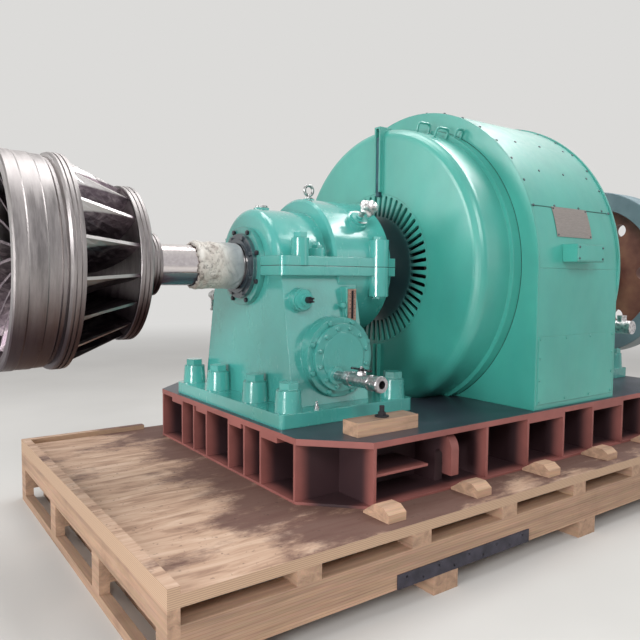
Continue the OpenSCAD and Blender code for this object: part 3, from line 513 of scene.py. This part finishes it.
def wrap_material():
    """Cream creped wrapping paper: matt, with painted shade in its creases and painted shadow lines along its
    folds, and greyed with oil towards the seal.
    """
    material, tree, shader = new_material("Creased cream wrapping", {"Roughness": 0.7, "Sheen Weight": 0.2})
    place = place_from(tree, AXIS)
    # Painted shade: the crease noise that raises the bump also darkens its low parts
    creases, tint = mottled(tree, {"Scale": 12.0, "Detail": 7.0, "Roughness": 0.6, "Distortion": 1.2}, place,
                            [(0.32, "#9a9088"), (0.45, "#ccc5bc"), (0.7, "#e6e2db")])
    station = add(tree, "SeparateXYZ", {0: place}, "X")
    result = layer(tree, station, (-0.05, 0.08), (0.0, 0.8), tint, "#76868d")
    # Painted shadow: sharp dark fold lines that run round the shaft and die out towards the seal
    bent = add(tree, "VectorMath MULTIPLY_ADD", {0: creases.node.outputs["Color"], 1: (0.16, 0.16, 0.16),
                                                 2: place_from(tree, AXIS, (1.0, 0.4, 0.4))})
    folds = add(tree, "TexVoronoi", {"feature": "DISTANCE_TO_EDGE", "Scale": 17.0, "Vector": bent})
    line = add(tree, "MapRange", {**SOFT, 0: folds, 1: 0.004, 2: 0.045, 3: 0.8, 4: 0.0})
    fade = add(tree, "MapRange", {**SOFT, 0: station, 1: -0.08, 2: 0.04, 3: 1.0, 4: 0.1})
    drawn = add(tree, "Math MULTIPLY", {0: line, 1: fade})
    result = add(tree, "Mix", {**COLOURS, 0: drawn, 6: result, 7: "#574e4a"})
    bump = add(tree, "Bump", {"Strength": 0.7, "Distance": 0.003, "Height": creases})
    wire(shader, {"Base Color": result, "Normal": bump})
    return material


def foil_material():
    """Crumpled kitchen foil: bright facets."""
    material, tree, shader = new_material("Crumpled foil", {"Metallic": 0.85, "Roughness": 0.3})
    cells = add(tree, "TexVoronoi", {"Scale": 55.0, "Vector": place_from(tree)})
    tint = add(tree, "ValToRGB", {"ramp": [(0.0, "#8f8d90"), (0.6, "#dddbda")], 0: cells})
    bump = add(tree, "Bump", {"Strength": 0.8, "Distance": 0.004, "Height": cells})
    wire(shader, {"Base Color": tint, "Normal": bump})
    return material


def plate_material():
    """Etched aluminium nameplate, left blank: dull, with brushed lines across it."""
    material, tree, shader = new_material("Etched aluminium", {"Metallic": 0.6, "Roughness": 0.45})
    tint = mottled(tree, {"Scale": 14.0, "Detail": 3.0}, place_from(tree, scale=(2, 90, 90)),
                   [(0.3, "#857e7a"), (0.7, "#a39b96")])[1]
    wire(shader, {"Base Color": tint})
    return material


def piece(name, bm, material, smooth=True, body="frame"):
    """Turn a bmesh into a piece that rides on a body. Its material may be given by name."""
    mesh = bpy.data.meshes.new(name)
    bmesh.ops.recalc_face_normals(bm, faces=bm.faces)
    bm.to_mesh(mesh)
    bm.free()
    if smooth:
        for face in mesh.polygons:
            face.use_smooth = True
        mesh.set_sharp_from_angle(angle=radians(35))
    made = bpy.data.objects.new(name, mesh)
    bpy.context.scene.collection.objects.link(made)
    mesh.materials.append(bpy.data.materials[material] if isinstance(material, str) else material)
    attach(made, body)
    return made


def turned_to(direction, place):
    """A matrix that takes +Z to a direction and the origin to a place."""
    return Matrix.Translation(place) @ Vector((0, 0, 1)).rotation_difference(Vector(direction)).to_matrix().to_4x4()


def add_screw(bm, place, direction, radius, height):
    """A cheese head screw with a chamfered rim, in metres."""
    bmesh.ops.create_cone(bm, cap_ends=True, segments=12, radius1=radius, radius2=radius * 0.72, depth=height,
                          matrix=turned_to(direction, place) @ Matrix.Translation((0, 0, height / 2)))


def add_roof_screw(bm, x, angle, radius, head, height):
    """A screw on the round roof, at a station in millimetres."""
    add_screw(bm, on_round(x * MM, angle, radius), round_roof(angle), head, height)


def add_turned(bm, place, direction, profile, segments=24, closed=False):
    """Spin a profile of radius and height pairs, in millimetres, about a direction."""
    base = turned_to(direction, place)
    points = [bm.verts.new(base @ Vector((r * MM, 0, h * MM))) for r, h in profile]
    pairs = list(zip(points, points[1:])) + ([(points[-1], points[0])] if closed else [])
    lines = [bm.edges.new(pair) for pair in pairs]
    bmesh.ops.spin(bm, geom=points + lines, cent=place, axis=Vector(direction).normalized(), angle=2 * pi,
                   steps=segments, use_merge=True)
    bmesh.ops.remove_doubles(bm, verts=bm.verts, dist=1e-6)


def add_hexagon(bm, place, direction, radius, height):
    """A hexagon head or nut with its corners chamfered, in millimetres."""
    add_turned(bm, place, direction, [(0, 0), (radius, 0), (radius, height * 0.84), (radius * 0.86, height),
                                      (0, height)], segments=6)


def add_block(bm, middle, size, rounding=0.0):
    """A block about its middle, in metres. Where it is rounded, it is the only one in its bmesh."""
    bmesh.ops.create_cube(bm, size=1.0, matrix=Matrix.Translation(middle) @ Matrix.Diagonal((*size, 1)))
    if rounding:
        bmesh.ops.bevel(bm, geom=bm.edges[:], offset=rounding, affect="EDGES", segments=2, profile=0.5, material=-1)


def thicken(bm, thickness):
    """Give every face of a bmesh a thickness."""
    bmesh.ops.recalc_face_normals(bm, faces=bm.faces)
    bmesh.ops.solidify(bm, geom=bm.faces[:], thickness=thickness)


def add_arcs(bm, ends, starts, turn, steps, thickness):
    """Sweep a line round the shaft from each starting angle, and thicken what it sweeps. Each of the line's
    ends is a station and a radius, in metres."""
    for start in starts:
        points = [bm.verts.new(on_round(x, start, radius)) for x, radius in ends]
        line = bm.edges.new(points)
        bmesh.ops.spin(bm, geom=[line, *points], cent=AXIS, axis=(-1, 0, 0), angle=turn, steps=steps)
    thicken(bm, thickness)


class GENERATOR_OT_castings(bpy.types.Operator):
    """Enamel the pedestals, caps, seals, bolts and covers"""
    bl_idname = "generator.castings"
    bl_label = "Enamel Castings"

    def execute(self, context):
        colour = context.scene.generator_finish.enamel
        coat(["front_pedestal", "front_cap", "front_side_cover", "front_bolts", "rear_pedestal", "rear_cap",
              "rear_side_cover", "rear_bolts"], enamel_material("Brushed machine enamel", colour, 0.3, 0.2, True))
        coat(["front_seal", "rear_seal"], seal_material(colour))
        return {"FINISHED"}


class GENERATOR_OT_enclosure(bpy.types.Operator):
    """Enamel the sheet enclosure, its cover, handles and terminal box"""
    bl_idname = "generator.enclosure"
    bl_label = "Enamel Enclosure"

    def execute(self, context):
        colour = context.scene.generator_finish.sheet_enamel
        coat(["enclosure_front_wall", "enclosure_rear_wall", "enclosure_roof", "enclosure_sides", "front_cover",
              "cover_handles", "terminal_box"], enamel_material("Sprayed sheet enamel", colour, 0.07, 0.42))
        coat(["vent_ring"], vent_material(colour))
        coat(["stator_core", "generator_rotor"], dark_material("Varnished laminations", "#141216", "#2b272b", 0.5))
        coat(["stator_winding"], winding_material())
        return {"FINISHED"}


class GENERATOR_OT_base_frame(bpy.types.Operator):
    """Prime the welded base frame and oil its top plate"""
    bl_idname = "generator.base_frame"
    bl_label = "Prime Base Frame"

    def execute(self, context):
        colour = context.scene.generator_finish.primer
        coat(["frame_bottom_plate", "frame_long_plates", "frame_stiffeners", "lifting_hooks"],
             primer_material(colour)[0])
        coat(["frame_top_plate"], top_plate_material(colour))
        return {"FINISHED"}


class GENERATOR_OT_skid(bpy.types.Operator):
    """Grain the skid's timbers and darken its strap plate"""
    bl_idname = "generator.skid"
    bl_label = "Grain Skid"

    def execute(self, context):
        colour = context.scene.generator_finish.timber
        coat(["skid_deck"], deck_material())
        coat(["skid_beams"], timber_material("Laminated beams", colour, "X", 0.012))
        coat(["skid_bearers", "skid_runners"], timber_material("Sawn cross timbers", colour, "Y"))
        coat(["skid_end_frames"], timber_material("Sawn end boards", colour, "Y"))
        coat(["timber_chocks"], chock_material(colour))
        coat(["skid_strap_plate"], dark_material("Dark strap steel", "#2b2a33", "#45424e", 0.5))
        return {"FINISHED"}


class GENERATOR_OT_runner(bpy.types.Operator):
    """Polish the runner's band and crown and grind its blades"""
    bl_idname = "generator.runner"
    bl_label = "Finish Runner"

    def execute(self, context):
        coat(["runner_band", "runner_crown"], lathe_material(context.scene.generator_finish.steel))
        coat(["runner_blades"], ground_material())
        return {"FINISHED"}


class GENERATOR_OT_shaft(bpy.types.Operator):
    """Polish the shaft and prime the flywheel"""
    bl_idname = "generator.shaft"
    bl_label = "Finish Shaft"

    def execute(self, context):
        coat(["shaft"], shaft_material(context.scene.generator_finish.steel))
        coat(["flywheel"], flywheel_material())
        return {"FINISHED"}


class GENERATOR_OT_fittings(bpy.types.Operator):
    """Plate the valves, eyebolts and gauge"""
    bl_idname = "generator.fittings"
    bl_label = "Finish Fittings"

    def execute(self, context):
        enamel = context.scene.generator_finish.enamel
        coat(["drain_valve"], plated_material("Nickel plated brass", "#c9c6c8", 0.26))
        coat(["valve_lever"], dark_material("Black dipped lever", "#17161b", "#2c2a31", 0.3))
        coat(["front_cap_fittings", "rear_cap_fittings"], cap_fittings_material(enamel))
        coat(["rear_valve"], foil_material())
        coat(["front_instruments"], instrument_material(enamel))
        return {"FINISHED"}


class GENERATOR_OT_shaft_wrap(bpy.types.Operator):
    """Wrap the shaft in creased paper between the runner and the seal"""
    bl_idname = "generator.shaft_wrap"
    bl_label = "Wrap Shaft"

    def execute(self, context):
        low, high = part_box("shaft_wrap")
        radius = (high.z - low.z) / 2
        # The free end laps the shaft's shoulder
        low.x -= 0.021
        length = high.x - low.x
        depth = context.scene.generator_sizes.crease_depth
        random.seed(context.scene.generator_sizes.seed)
        bm = bmesh.new()
        ring = bmesh.ops.create_circle(bm, segments=120, radius=radius - 0.004,
                                       matrix=Matrix.Translation((low.x, AXIS.y, AXIS.z))
                                       @ Matrix.Rotation(pi / 2, 4, "Y"))
        edges = list({e for v in ring["verts"] for e in v.link_edges})
        count = 44
        for _ in range(count):
            more = bmesh.ops.extrude_edge_only(bm, edges=edges)["geom"]
            edges = [g for g in more if isinstance(g, bmesh.types.BMEdge)]
            bmesh.ops.translate(bm, vec=(length / count, 0, 0),
                                verts=[g for g in more if isinstance(g, bmesh.types.BMVert)])
        folds = [(random.uniform(low.x, high.x), random.uniform(0, 2 * pi), random.uniform(-1.2, 1.2),
                  random.uniform(0.4, 1.0), random.uniform(0.006, 0.014)) for _ in range(46)]
        for v in bm.verts:
            out = Vector((0, v.co.y - AXIS.y, v.co.z - AXIS.z))
            angle = atan2(out.z, out.y)
            lift = 0.0
            for x, a, slope, size, wide in folds:
                turn = (angle - a + pi) % (2 * pi) - pi
                across = (v.co.x - x) - slope * turn * 0.1
                reach = exp(-(turn * 0.11 / 0.05) ** 2)
                lift += size * reach * exp(-(across / wide) ** 2)
            # The free end is drawn in by 12.5 mm over its first 7.5 mm, and torn
            drawn = min(1.0, (v.co.x - low.x) / 0.0075) - 1.0
            v.co += out.normalized() * (min(lift, 1.3) * depth + drawn * 0.0125)
            if v.co.x < low.x + 0.002:
                v.co.x += 0.003 * (sin(9 * angle) + sin(23 * angle + 1) - 1) + random.uniform(-0.001, 0.001)
        area = sum(face.calc_area() for face in bm.faces)
        made = piece("creased_shaft_wrap", bm, wrap_material(), body="rotor")
        thick = made.modifiers.new("Thickness", "SOLIDIFY")
        thick.thickness = 0.0025
        thick.offset = -1
        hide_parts("shaft_wrap")
        return {"FINISHED"}


class GENERATOR_OT_roof_sheets(bpy.types.Operator):
    """Lay the lapped roof sheet between the two seams, with its screws"""
    bl_idname = "generator.roof_sheets"
    bl_label = "Lap Roof Sheets"

    def execute(self, context):
        low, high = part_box("enclosure_roof")
        radius = high.z - AXIS.z
        stations = (low.x - AXIS.x - 0.011, high.x - AXIS.x + 0.011)
        start, stop = radians(20), radians(48)
        sheet, seams, screws = bmesh.new(), bmesh.new(), bmesh.new()
        add_arcs(sheet, [(x, radius + 0.0004) for x in stations], (start,), stop - start, 40, -0.0022)
        piece("roof_lap_sheet", sheet, "Sprayed sheet enamel")
        # A line of mastic along both seams, 3 mm wide
        width = 0.003 / radius
        add_arcs(seams, [(x, radius + 0.0003) for x in stations], (start - width, stop), width, 2, -0.0008)
        piece("roof_seams", seams, dark_material("Black seam mastic", "#1b2c2c", "#2a3d3b", 0.6))
        head = context.scene.generator_sizes.screw_radius
        for xs, angles, lift in (((1436, 2178), range(20, 170, 9), 0.002),
                                 ((1632, 1867, 2111), (20.6, 34, 48.6, 90, 131.4, 159.4), 0.0005)):
            for x in xs:
                for angle in angles:
                    add_roof_screw(screws, x, radians(angle), radius + lift, head, 0.005)
        piece("roof_screws", screws, plated_material("Blued sheet screws", "#5d6b70", 0.4))
        return {"FINISHED"}


class GENERATOR_OT_side_screws(bpy.types.Operator):
    """Screw the lower side panels on both sides"""
    bl_idname = "generator.side_screws"
    bl_label = "Screw Side Panels"

    def execute(self, context):
        head = context.scene.generator_sizes.screw_radius * 0.85
        low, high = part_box("enclosure_sides")
        screws = bmesh.new()
        along = [(x, z) for x in (1450, 1690, 1930, 2164) for z in (48, 392)]
        for x, z in along + [(x, z) for z in (165, 285) for x in (1450, 2164)]:
            for y, way in ((low.y, -1), (high.y, 1)):
                add_screw(screws, on_side(x, y, z), (0, way, 0), head, 0.004)
        piece("side_screws", screws, "Sprayed sheet enamel")
        return {"FINISHED"}


class GENERATOR_OT_box_lid(bpy.types.Operator):
    """Screw the lid on the terminal box"""
    bl_idname = "generator.box_lid"
    bl_label = "Fit Box Lid"

    def execute(self, context):
        low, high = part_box("terminal_box")
        thick = 0.003
        wide, tall = high.x - low.x - 0.008, high.z - low.z - 0.008
        middle = Vector(((low.x + high.x) / 2, low.y - thick / 2, (low.z + high.z) / 2))
        lid, screws = bmesh.new(), bmesh.new()
        add_block(lid, middle, (wide, thick, tall), 0.0012)
        piece("terminal_box_lid", lid, "Sprayed sheet enamel", False)
        for x in (-1, 1):
            for z in (-1, 1):
                spot = middle + Vector((x * (wide / 2 - 0.014), -thick / 2, z * (tall / 2 - 0.014)))
                add_screw(screws, spot, (0, -1, 0), context.scene.generator_sizes.screw_radius * 0.75, 0.004)
        piece("terminal_box_screws", screws, "Blued sheet screws")
        return {"FINISHED"}


class GENERATOR_OT_nameplate(bpy.types.Operator):
    """Rivet the blank nameplate to the near side of the roof"""
    bl_idname = "generator.nameplate"
    bl_label = "Fix Nameplate"

    def execute(self, context):
        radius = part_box("enclosure_roof")[1].z - AXIS.z
        middle = context.scene.generator_sizes.plate_angle
        half = radians(5.0)
        plate, rivets = bmesh.new(), bmesh.new()
        add_arcs(plate, [(x * MM, radius + 0.0022) for x in (1600, 1938)], (middle - half,), 2 * half, 16, -0.0018)
        piece("nameplate", plate, plate_material())
        for x in (1612, 1926):
            for angle in (middle - half * 0.88, middle + half * 0.88):
                add_roof_screw(rivets, x, angle, radius + 0.004, 0.006, 0.003)
        piece("nameplate_rivets", rivets, "Blued sheet screws")
        return {"FINISHED"}


class GENERATOR_OT_sensor_foil(bpy.types.Operator):
    """Crumple foil round the head of the drum's sensor"""
    bl_idname = "generator.sensor_foil"
    bl_label = "Wrap Sensor"

    def execute(self, context):
        random.seed(context.scene.generator_sizes.seed + 1)
        place = on_round(0.734, SENSOR_ANGLE, DRUM_RADIUS + 0.116)
        foil, collar = bmesh.new(), bmesh.new()
        bmesh.ops.create_icosphere(foil, subdivisions=4, radius=0.041, matrix=Matrix.Translation(place))
        bumps = [(Vector([random.gauss(0, 1) for _ in range(3)]).normalized(), random.uniform(-0.007, 0.011))
                 for _ in range(70)]
        for v in foil.verts:
            way = (v.co - place).normalized()
            lift = sum(size * exp(-((way - tip).length / 0.3) ** 2) for tip, size in bumps)
            v.co += way * max(-0.006, min(lift, 0.014))
        piece("sensor_foil", foil, "Crumpled foil", False)
        add_turned(collar, on_round(0.718, SENSOR_ANGLE, DRUM_RADIUS + 0.040), round_roof(SENSOR_ANGLE),
                   [(14, 0), (21, 0), (21, 12), (19, 14), (14, 14)], 6, True)
        piece("sensor_collar", collar, "Brushed machine enamel", False)
        return {"FINISHED"}


class GENERATOR_OT_gauge(bpy.types.Operator):
    """Cut the sight slot of the level gauge and fit its knob"""
    bl_idname = "generator.gauge"
    bl_label = "Fit Gauge Details"

    def execute(self, context):
        black = dark_material("Black gauge glass", "#0d0b0f", "#1c191e", 0.2)
        middle = at(583, -445.5, 578)
        glass, ticks, knob = bmesh.new(), bmesh.new(), bmesh.new()
        add_block(glass, middle, (0.014, 0.002, 0.15))
        piece("gauge_glass", glass, black, False)
        for i in range(-3, 4):
            for side in (-1, 1):
                add_block(ticks, middle + Vector((side * 0.015, 0, i * 0.02)), (0.008, 0.0016, 0.0022))
        piece("gauge_ticks", ticks, black, False)
        add_turned(knob, at(528, -397, 575), (0, -1, 0),
                   [(0, 0), (9, 0), (9, 24), (17, 26), (16, 44), (13, 47), (0, 47)])
        piece("gauge_knob", knob, "Brushed machine enamel")
        return {"FINISHED"}


class GENERATOR_OT_flange_bolts(bpy.types.Operator):
    """Bolt the side flanges of both pedestals and the outer rings of both seals"""
    bl_idname = "generator.flange_bolts"
    bl_label = "Fit Flange Bolts"

    def execute(self, context):
        length = LENGTH / MM
        flanges, seals = bmesh.new(), bmesh.new()
        for i in range(8):
            turn = radians(22.5 + 45 * i)
            for x in (457, length - 457):
                for way in (-1, 1):
                    add_hexagon(flanges, at(x + 192 * cos(turn), way * 508, 310 + 192 * sin(turn)),
                                (0, way, 0), 14.5, 13)
            turn = radians(25 + 45 * i)
            for x, way in ((148, -1), (length - 148, 1)):
                place = AXIS + Vector((x, 197 * cos(turn), 197 * sin(turn))) * MM
                add_hexagon(seals, place, (way, 0, 0), 13, 14)
        piece("side_flange_bolts", flanges, "Brushed machine enamel", False)
        piece("seal_ring_bolts", seals, dark_material("Blackened bolts", "#241f27", "#3a343c", 0.35),
              False)
        return {"FINISHED"}


class GENERATOR_OT_cover_joint(bpy.types.Operator):
    """Lay the sealing cord in the joint between the cover and the front wall"""
    bl_idname = "generator.cover_joint"
    bl_label = "Seal Cover Joint"

    def execute(self, context):
        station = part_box("enclosure_front_wall")[0].x - AXIS.x - 0.0004
        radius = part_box("front_cover")[1].z - AXIS.z
        cord = bmesh.new()
        add_arcs(cord, [(station, radius - 0.001), (station, radius + 0.0022)], (radians(-59),),
                 radians(298), 180, 0.0015)
        piece("cover_joint", cord, dark_material("Black sealing cord", "#16211f", "#27322f", 0.6))
        return {"FINISHED"}


class GENERATOR_OT_dark_strips(bpy.types.Operator):
    """Lay a dark strip of painted shadow in the cover's rib, and a thin dark line of painted shadow round each
    lower side panel
    """
    bl_idname = "generator.dark_strips"
    bl_label = "Lay Dark Strips"

    def execute(self, context):
        shadow_paint = dark_material("Dark strip of painted shadow", "#284650", "#365c66", 0.6)
        strip, shadow_lines = bmesh.new(), bmesh.new()
        # Painted shadow: a dark strip between the rib's two flanges
        size = Vector((0.022, 0.0286, 0.368))
        corner = Vector((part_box("front_cover")[0].x + 0.004, AXIS.y - 0.0538, AXIS.z + 0.45))
        add_block(strip, corner + size / 2, size, 0.003)
        piece("cover_rib_shadow_strip", strip, shadow_paint, False)
        # Painted shadow: a thin dark line round the edge of each lower side panel
        low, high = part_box("enclosure_sides")
        for y, way in ((low.y + 0.0036, -1), (high.y - 0.0036, 1)):
            corners = [shadow_lines.verts.new(on_side(x, y, z))
                       for x, z in ((1432.5, 26.5), (2181.5, 26.5), (2181.5, 408.5), (1432.5, 408.5))]
            face = shadow_lines.faces.new(corners if way < 0 else corners[::-1])
            bmesh.ops.inset_individual(shadow_lines, faces=[face], thickness=0.0033)
            bmesh.ops.delete(shadow_lines, geom=[face], context="FACES_ONLY")
        thicken(shadow_lines, 0.002)
        piece("side_panel_shadow_lines", shadow_lines, shadow_paint, False)
        return {"FINISHED"}


class GENERATOR_OT_small_fittings(bpy.types.Operator):
    """Fit the valve's nuts, the grease nipple on the foot and the far side's plug"""
    bl_idname = "generator.small_fittings"
    bl_label = "Fit Small Fittings"

    def execute(self, context):
        nuts, nipple, plug = bmesh.new(), bmesh.new(), bmesh.new()
        low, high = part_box("valve_lever")
        stem = (low + high) / 2
        pipe = Vector((stem.x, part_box("drain_valve")[0].y, AXIS.z - 0.56))
        add_hexagon(nuts, Vector((stem.x, stem.y, low.z - 0.021)), (0, 0, 1), 25, 19)
        for back, wide in ((4, 41), (72, 39)):
            add_turned(nuts, pipe + Vector((0, back * MM, 0)), (0, 1, 0),
                       [(wide - 7, 0), (wide - 2, 0), (wide, 3), (wide, 19), (wide - 2, 22), (wide - 7, 22)],
                       segments=14, closed=True)
        piece("valve_nuts", nuts, "Nickel plated brass", False)
        add_hexagon(nipple, at(262, -573, 70), (0, 0, 1), 13, 14)
        add_turned(nipple, at(262, -573, 84), (0, 0, 1),
                   [(0, 0), (8, 0), (7, 14), (5, 16), (7, 22), (4, 26), (0, 26)], 16)
        piece("grease_nipple", nipple, "Nickel plated brass")
        add_turned(plug, at(270, 436, 608), (0, 1, 0), [
            (0, 0), (50, 0), (50, 13), (46, 15), (24, 15), (24, 90), (32, 93), (32, 148), (29, 152), (20, 154),
            (20, 186), (16, 190), (0, 190)])
        add_turned(plug, at(270, 606, 592), (0, 0, -1), [(0, 0), (9, 0), (9, 66), (13, 68), (13, 84), (0, 84)], 16)
        piece("far_plug", plug, "Zinc plated steel")
        return {"FINISHED"}


class GENERATOR_OT_strap_screws(bpy.types.Operator):
    """Screw the strap plate to the near beam"""
    bl_idname = "generator.strap_screws"
    bl_label = "Screw Strap Plate"

    def execute(self, context):
        low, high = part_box("skid_strap_plate")
        screws, last = bmesh.new(), 8
        for i in range(last + 1):
            x = low.x + 0.05 + i * (high.x - low.x - 0.1) / last
            spot = Vector((x, low.y + 0.0035, low.z + (0.018 if i % 2 else 0.044)))
            add_screw(screws, spot, (0, -1, 0), 0.006, 0.0035)
        piece("strap_screws", screws, "Zinc plated steel")
        return {"FINISHED"}


def backdrop(tree, direction):
    """The studio's backdrop: pale behind the object, greyer behind the camera so that metal keeps its shape."""
    side = add(tree, "SeparateXYZ", {0: direction}, "Y")
    return layer(tree, side, (-0.9, 0.3), WHOLE, "#bab8ba", "#dcdbd9")


def floor_material():
    """Pale painted floor: matt and faintly clouded, and lost in the backdrop far out, so that no horizon shows."""
    material, tree, shader = new_material("Pale studio floor", {"Roughness": 0.8, "Specular IOR Level": 0.0})
    place = place_from(tree)
    tint = mottled(tree, {"Scale": 0.6, "Detail": 3.0}, place, [(0.3, "#c9c7c4"), (0.7, "#d2d0cd")])[1]
    out = add(tree, "VectorMath LENGTH", {0: place})
    far = add(tree, "MapRange", {**SOFT, 0: out, 1: 4.0, 2: 16.0})
    way = add(tree, "VectorMath NORMALIZE", {0: place})
    lit = add(tree, "Mix", {**COLOURS, 0: far, 6: tint, 7: "#000000"})
    wire(shader, {"Base Color": lit, "Emission Color": backdrop(tree, way), "Emission Strength": far})
    return material


def set_world(world):
    """Dim light from all round, and the backdrop for the camera and for what shines."""
    world.use_nodes = True
    tree = world.node_tree
    sky = add(tree, "TexCoord", out="Generated")
    height = add(tree, "MapRange", {0: add(tree, "SeparateXYZ", {0: sky}, "Z"), 1: -1.0, 2: 1.0})
    soft = add(tree, "ValToRGB", {"ramp": [(0.0, "#646266"), (0.52, "#6f6c70"), (0.8, "#b6b5b4")], 0: height})
    rays = add(tree, "LightPath").node.outputs
    seen = add(tree, "Math ADD", {0: rays["Is Camera Ray"], 1: rays["Is Glossy Ray"]})
    seen = add(tree, "Math ADD", {"use_clamp": True, 0: seen, 1: rays["Is Transmission Ray"]})
    result = add(tree, "Mix", {**COLOURS, 0: seen, 6: soft, 7: backdrop(tree, sky)})
    back = tree.nodes["Background"]
    back.inputs["Strength"].default_value = 1.0
    wire(back, {"Color": result})


def photo_camera():
    """The camera as it was solved from the photograph: its place, three angles and focal length."""
    yaw, pitch, roll = radians(35.63), radians(3.68), radians(0.42)
    ahead = Vector((sin(yaw) * cos(pitch), cos(yaw) * cos(pitch), -sin(pitch)))
    right = Vector((cos(yaw), -sin(yaw), 0))
    up = right.cross(ahead)
    turned_right = right * cos(roll) + up * sin(roll)
    turned_up = up * cos(roll) - right * sin(roll)
    camera = bpy.data.cameras.new("photo_camera")
    camera.sensor_width = 36
    # The focal length was found as 636.61 pixels in a picture 640 pixels wide
    camera.lens = camera.sensor_width * 636.61 / 640
    camera.clip_end = 200
    made = bpy.data.objects.new("photo_camera", camera)
    basis = Matrix((turned_right, turned_up, -ahead)).transposed().to_4x4()
    made.matrix_world = Matrix.Translation(at(-1548.58, -3121.63, 713.79)) @ basis
    return made


# Name, place, the point it looks at, size and power of each soft light
LIGHTS = (
    ("key_light", (-4.5, -7.0, 6.0), (0, 0, 1.0), (3.0, 3.0), 300),
    ("window_light", (-8.5, 4.5, 3.6), (-0.6, 0, 1.1), (2.6, 2.6), 240),
    ("low_light", (-7.5, -3.0, 1.3), (-1.0, 0, 0.8), (1.6, 1.6), 230),
    ("fill_light", (5.5, -7.5, 3.5), (0.8, 0, 1.0), (4.0, 4.0), 60),
    ("roof_light", (3.4, -0.8, 6.2), (0.4, -0.4, 1.6), (5.0, 1.3), 230),
    ("top_light", (-0.8, 1.2, 6.6), (-0.2, 0, 1.0), (3.0, 3.0), 130),
)


class GENERATOR_OT_studio(bpy.types.Operator):
    """Set the floor, the soft lights and the camera"""
    bl_idname = "generator.studio"
    bl_label = "Set Studio"

    def execute(self, context):
        scene = context.scene
        mesh = bpy.data.meshes.new("studio_floor")
        bm = bmesh.new()
        bmesh.ops.create_grid(bm, x_segments=1, y_segments=1, size=40)
        bm.to_mesh(mesh)
        bm.free()
        floor = bpy.data.objects.new("studio_floor", mesh)
        scene.collection.objects.link(floor)
        mesh.materials.append(floor_material())
        scene.world = bpy.data.worlds.new("Soft studio")
        set_world(scene.world)
        for name, place, aim, size, watts in LIGHTS:
            lamp = bpy.data.lights.new(name, "AREA")
            lamp.shape = "RECTANGLE"
            lamp.size, lamp.size_y = size
            lamp.energy = watts
            made = bpy.data.objects.new(name, lamp)
            made.location = place
            made.rotation_euler = (Vector(aim) - Vector(place)).to_track_quat("-Z", "Y").to_euler()
            scene.collection.objects.link(made)
        scene.camera = photo_camera()
        scene.collection.objects.link(scene.camera)
        scene.view_settings.view_transform = "Standard"
        return {"FINISHED"}


STEPS = (
    GENERATOR_OT_castings,
    GENERATOR_OT_enclosure,
    GENERATOR_OT_base_frame,
    GENERATOR_OT_skid,
    GENERATOR_OT_runner,
    GENERATOR_OT_shaft,
    GENERATOR_OT_fittings,
    GENERATOR_OT_shaft_wrap,
    GENERATOR_OT_roof_sheets,
    GENERATOR_OT_side_screws,
    GENERATOR_OT_box_lid,
    GENERATOR_OT_nameplate,
    GENERATOR_OT_sensor_foil,
    GENERATOR_OT_gauge,
    GENERATOR_OT_flange_bolts,
    GENERATOR_OT_cover_joint,
    GENERATOR_OT_dark_strips,
    GENERATOR_OT_small_fittings,
    GENERATOR_OT_strap_screws,
    GENERATOR_OT_studio,
)


class GENERATOR_PT_sidebar(bpy.types.Panel):
    bl_idname = "GENERATOR_PT_sidebar"
    bl_label = "Hydroelectric Generator"
    bl_space_type = "VIEW_3D"
    bl_region_type = "UI"
    bl_category = "Generator"

    def draw(self, context):
        for name in GeneratorFinish.__annotations__:
            self.layout.prop(context.scene.generator_finish, name)
        for name in GeneratorSizes.__annotations__:
            self.layout.prop(context.scene.generator_sizes, name)
        for made in STEPS:
            self.layout.operator(made.bl_idname)


CLASSES = (GeneratorFinish, GeneratorSizes, *STEPS, GENERATOR_PT_sidebar)


def register():
    for made in CLASSES:
        bpy.utils.register_class(made)
    bpy.types.Scene.generator_finish = PointerProperty(type=GeneratorFinish)
    bpy.types.Scene.generator_sizes = PointerProperty(type=GeneratorSizes)


def unregister():
    del bpy.types.Scene.generator_sizes
    del bpy.types.Scene.generator_finish
    for made in reversed(CLASSES):
        bpy.utils.unregister_class(made)


def main():
    register()
    for step in STEPS:
        getattr(bpy.ops.generator, step.bl_idname.partition(".")[2])()


if __name__ == "__main__":
    main()
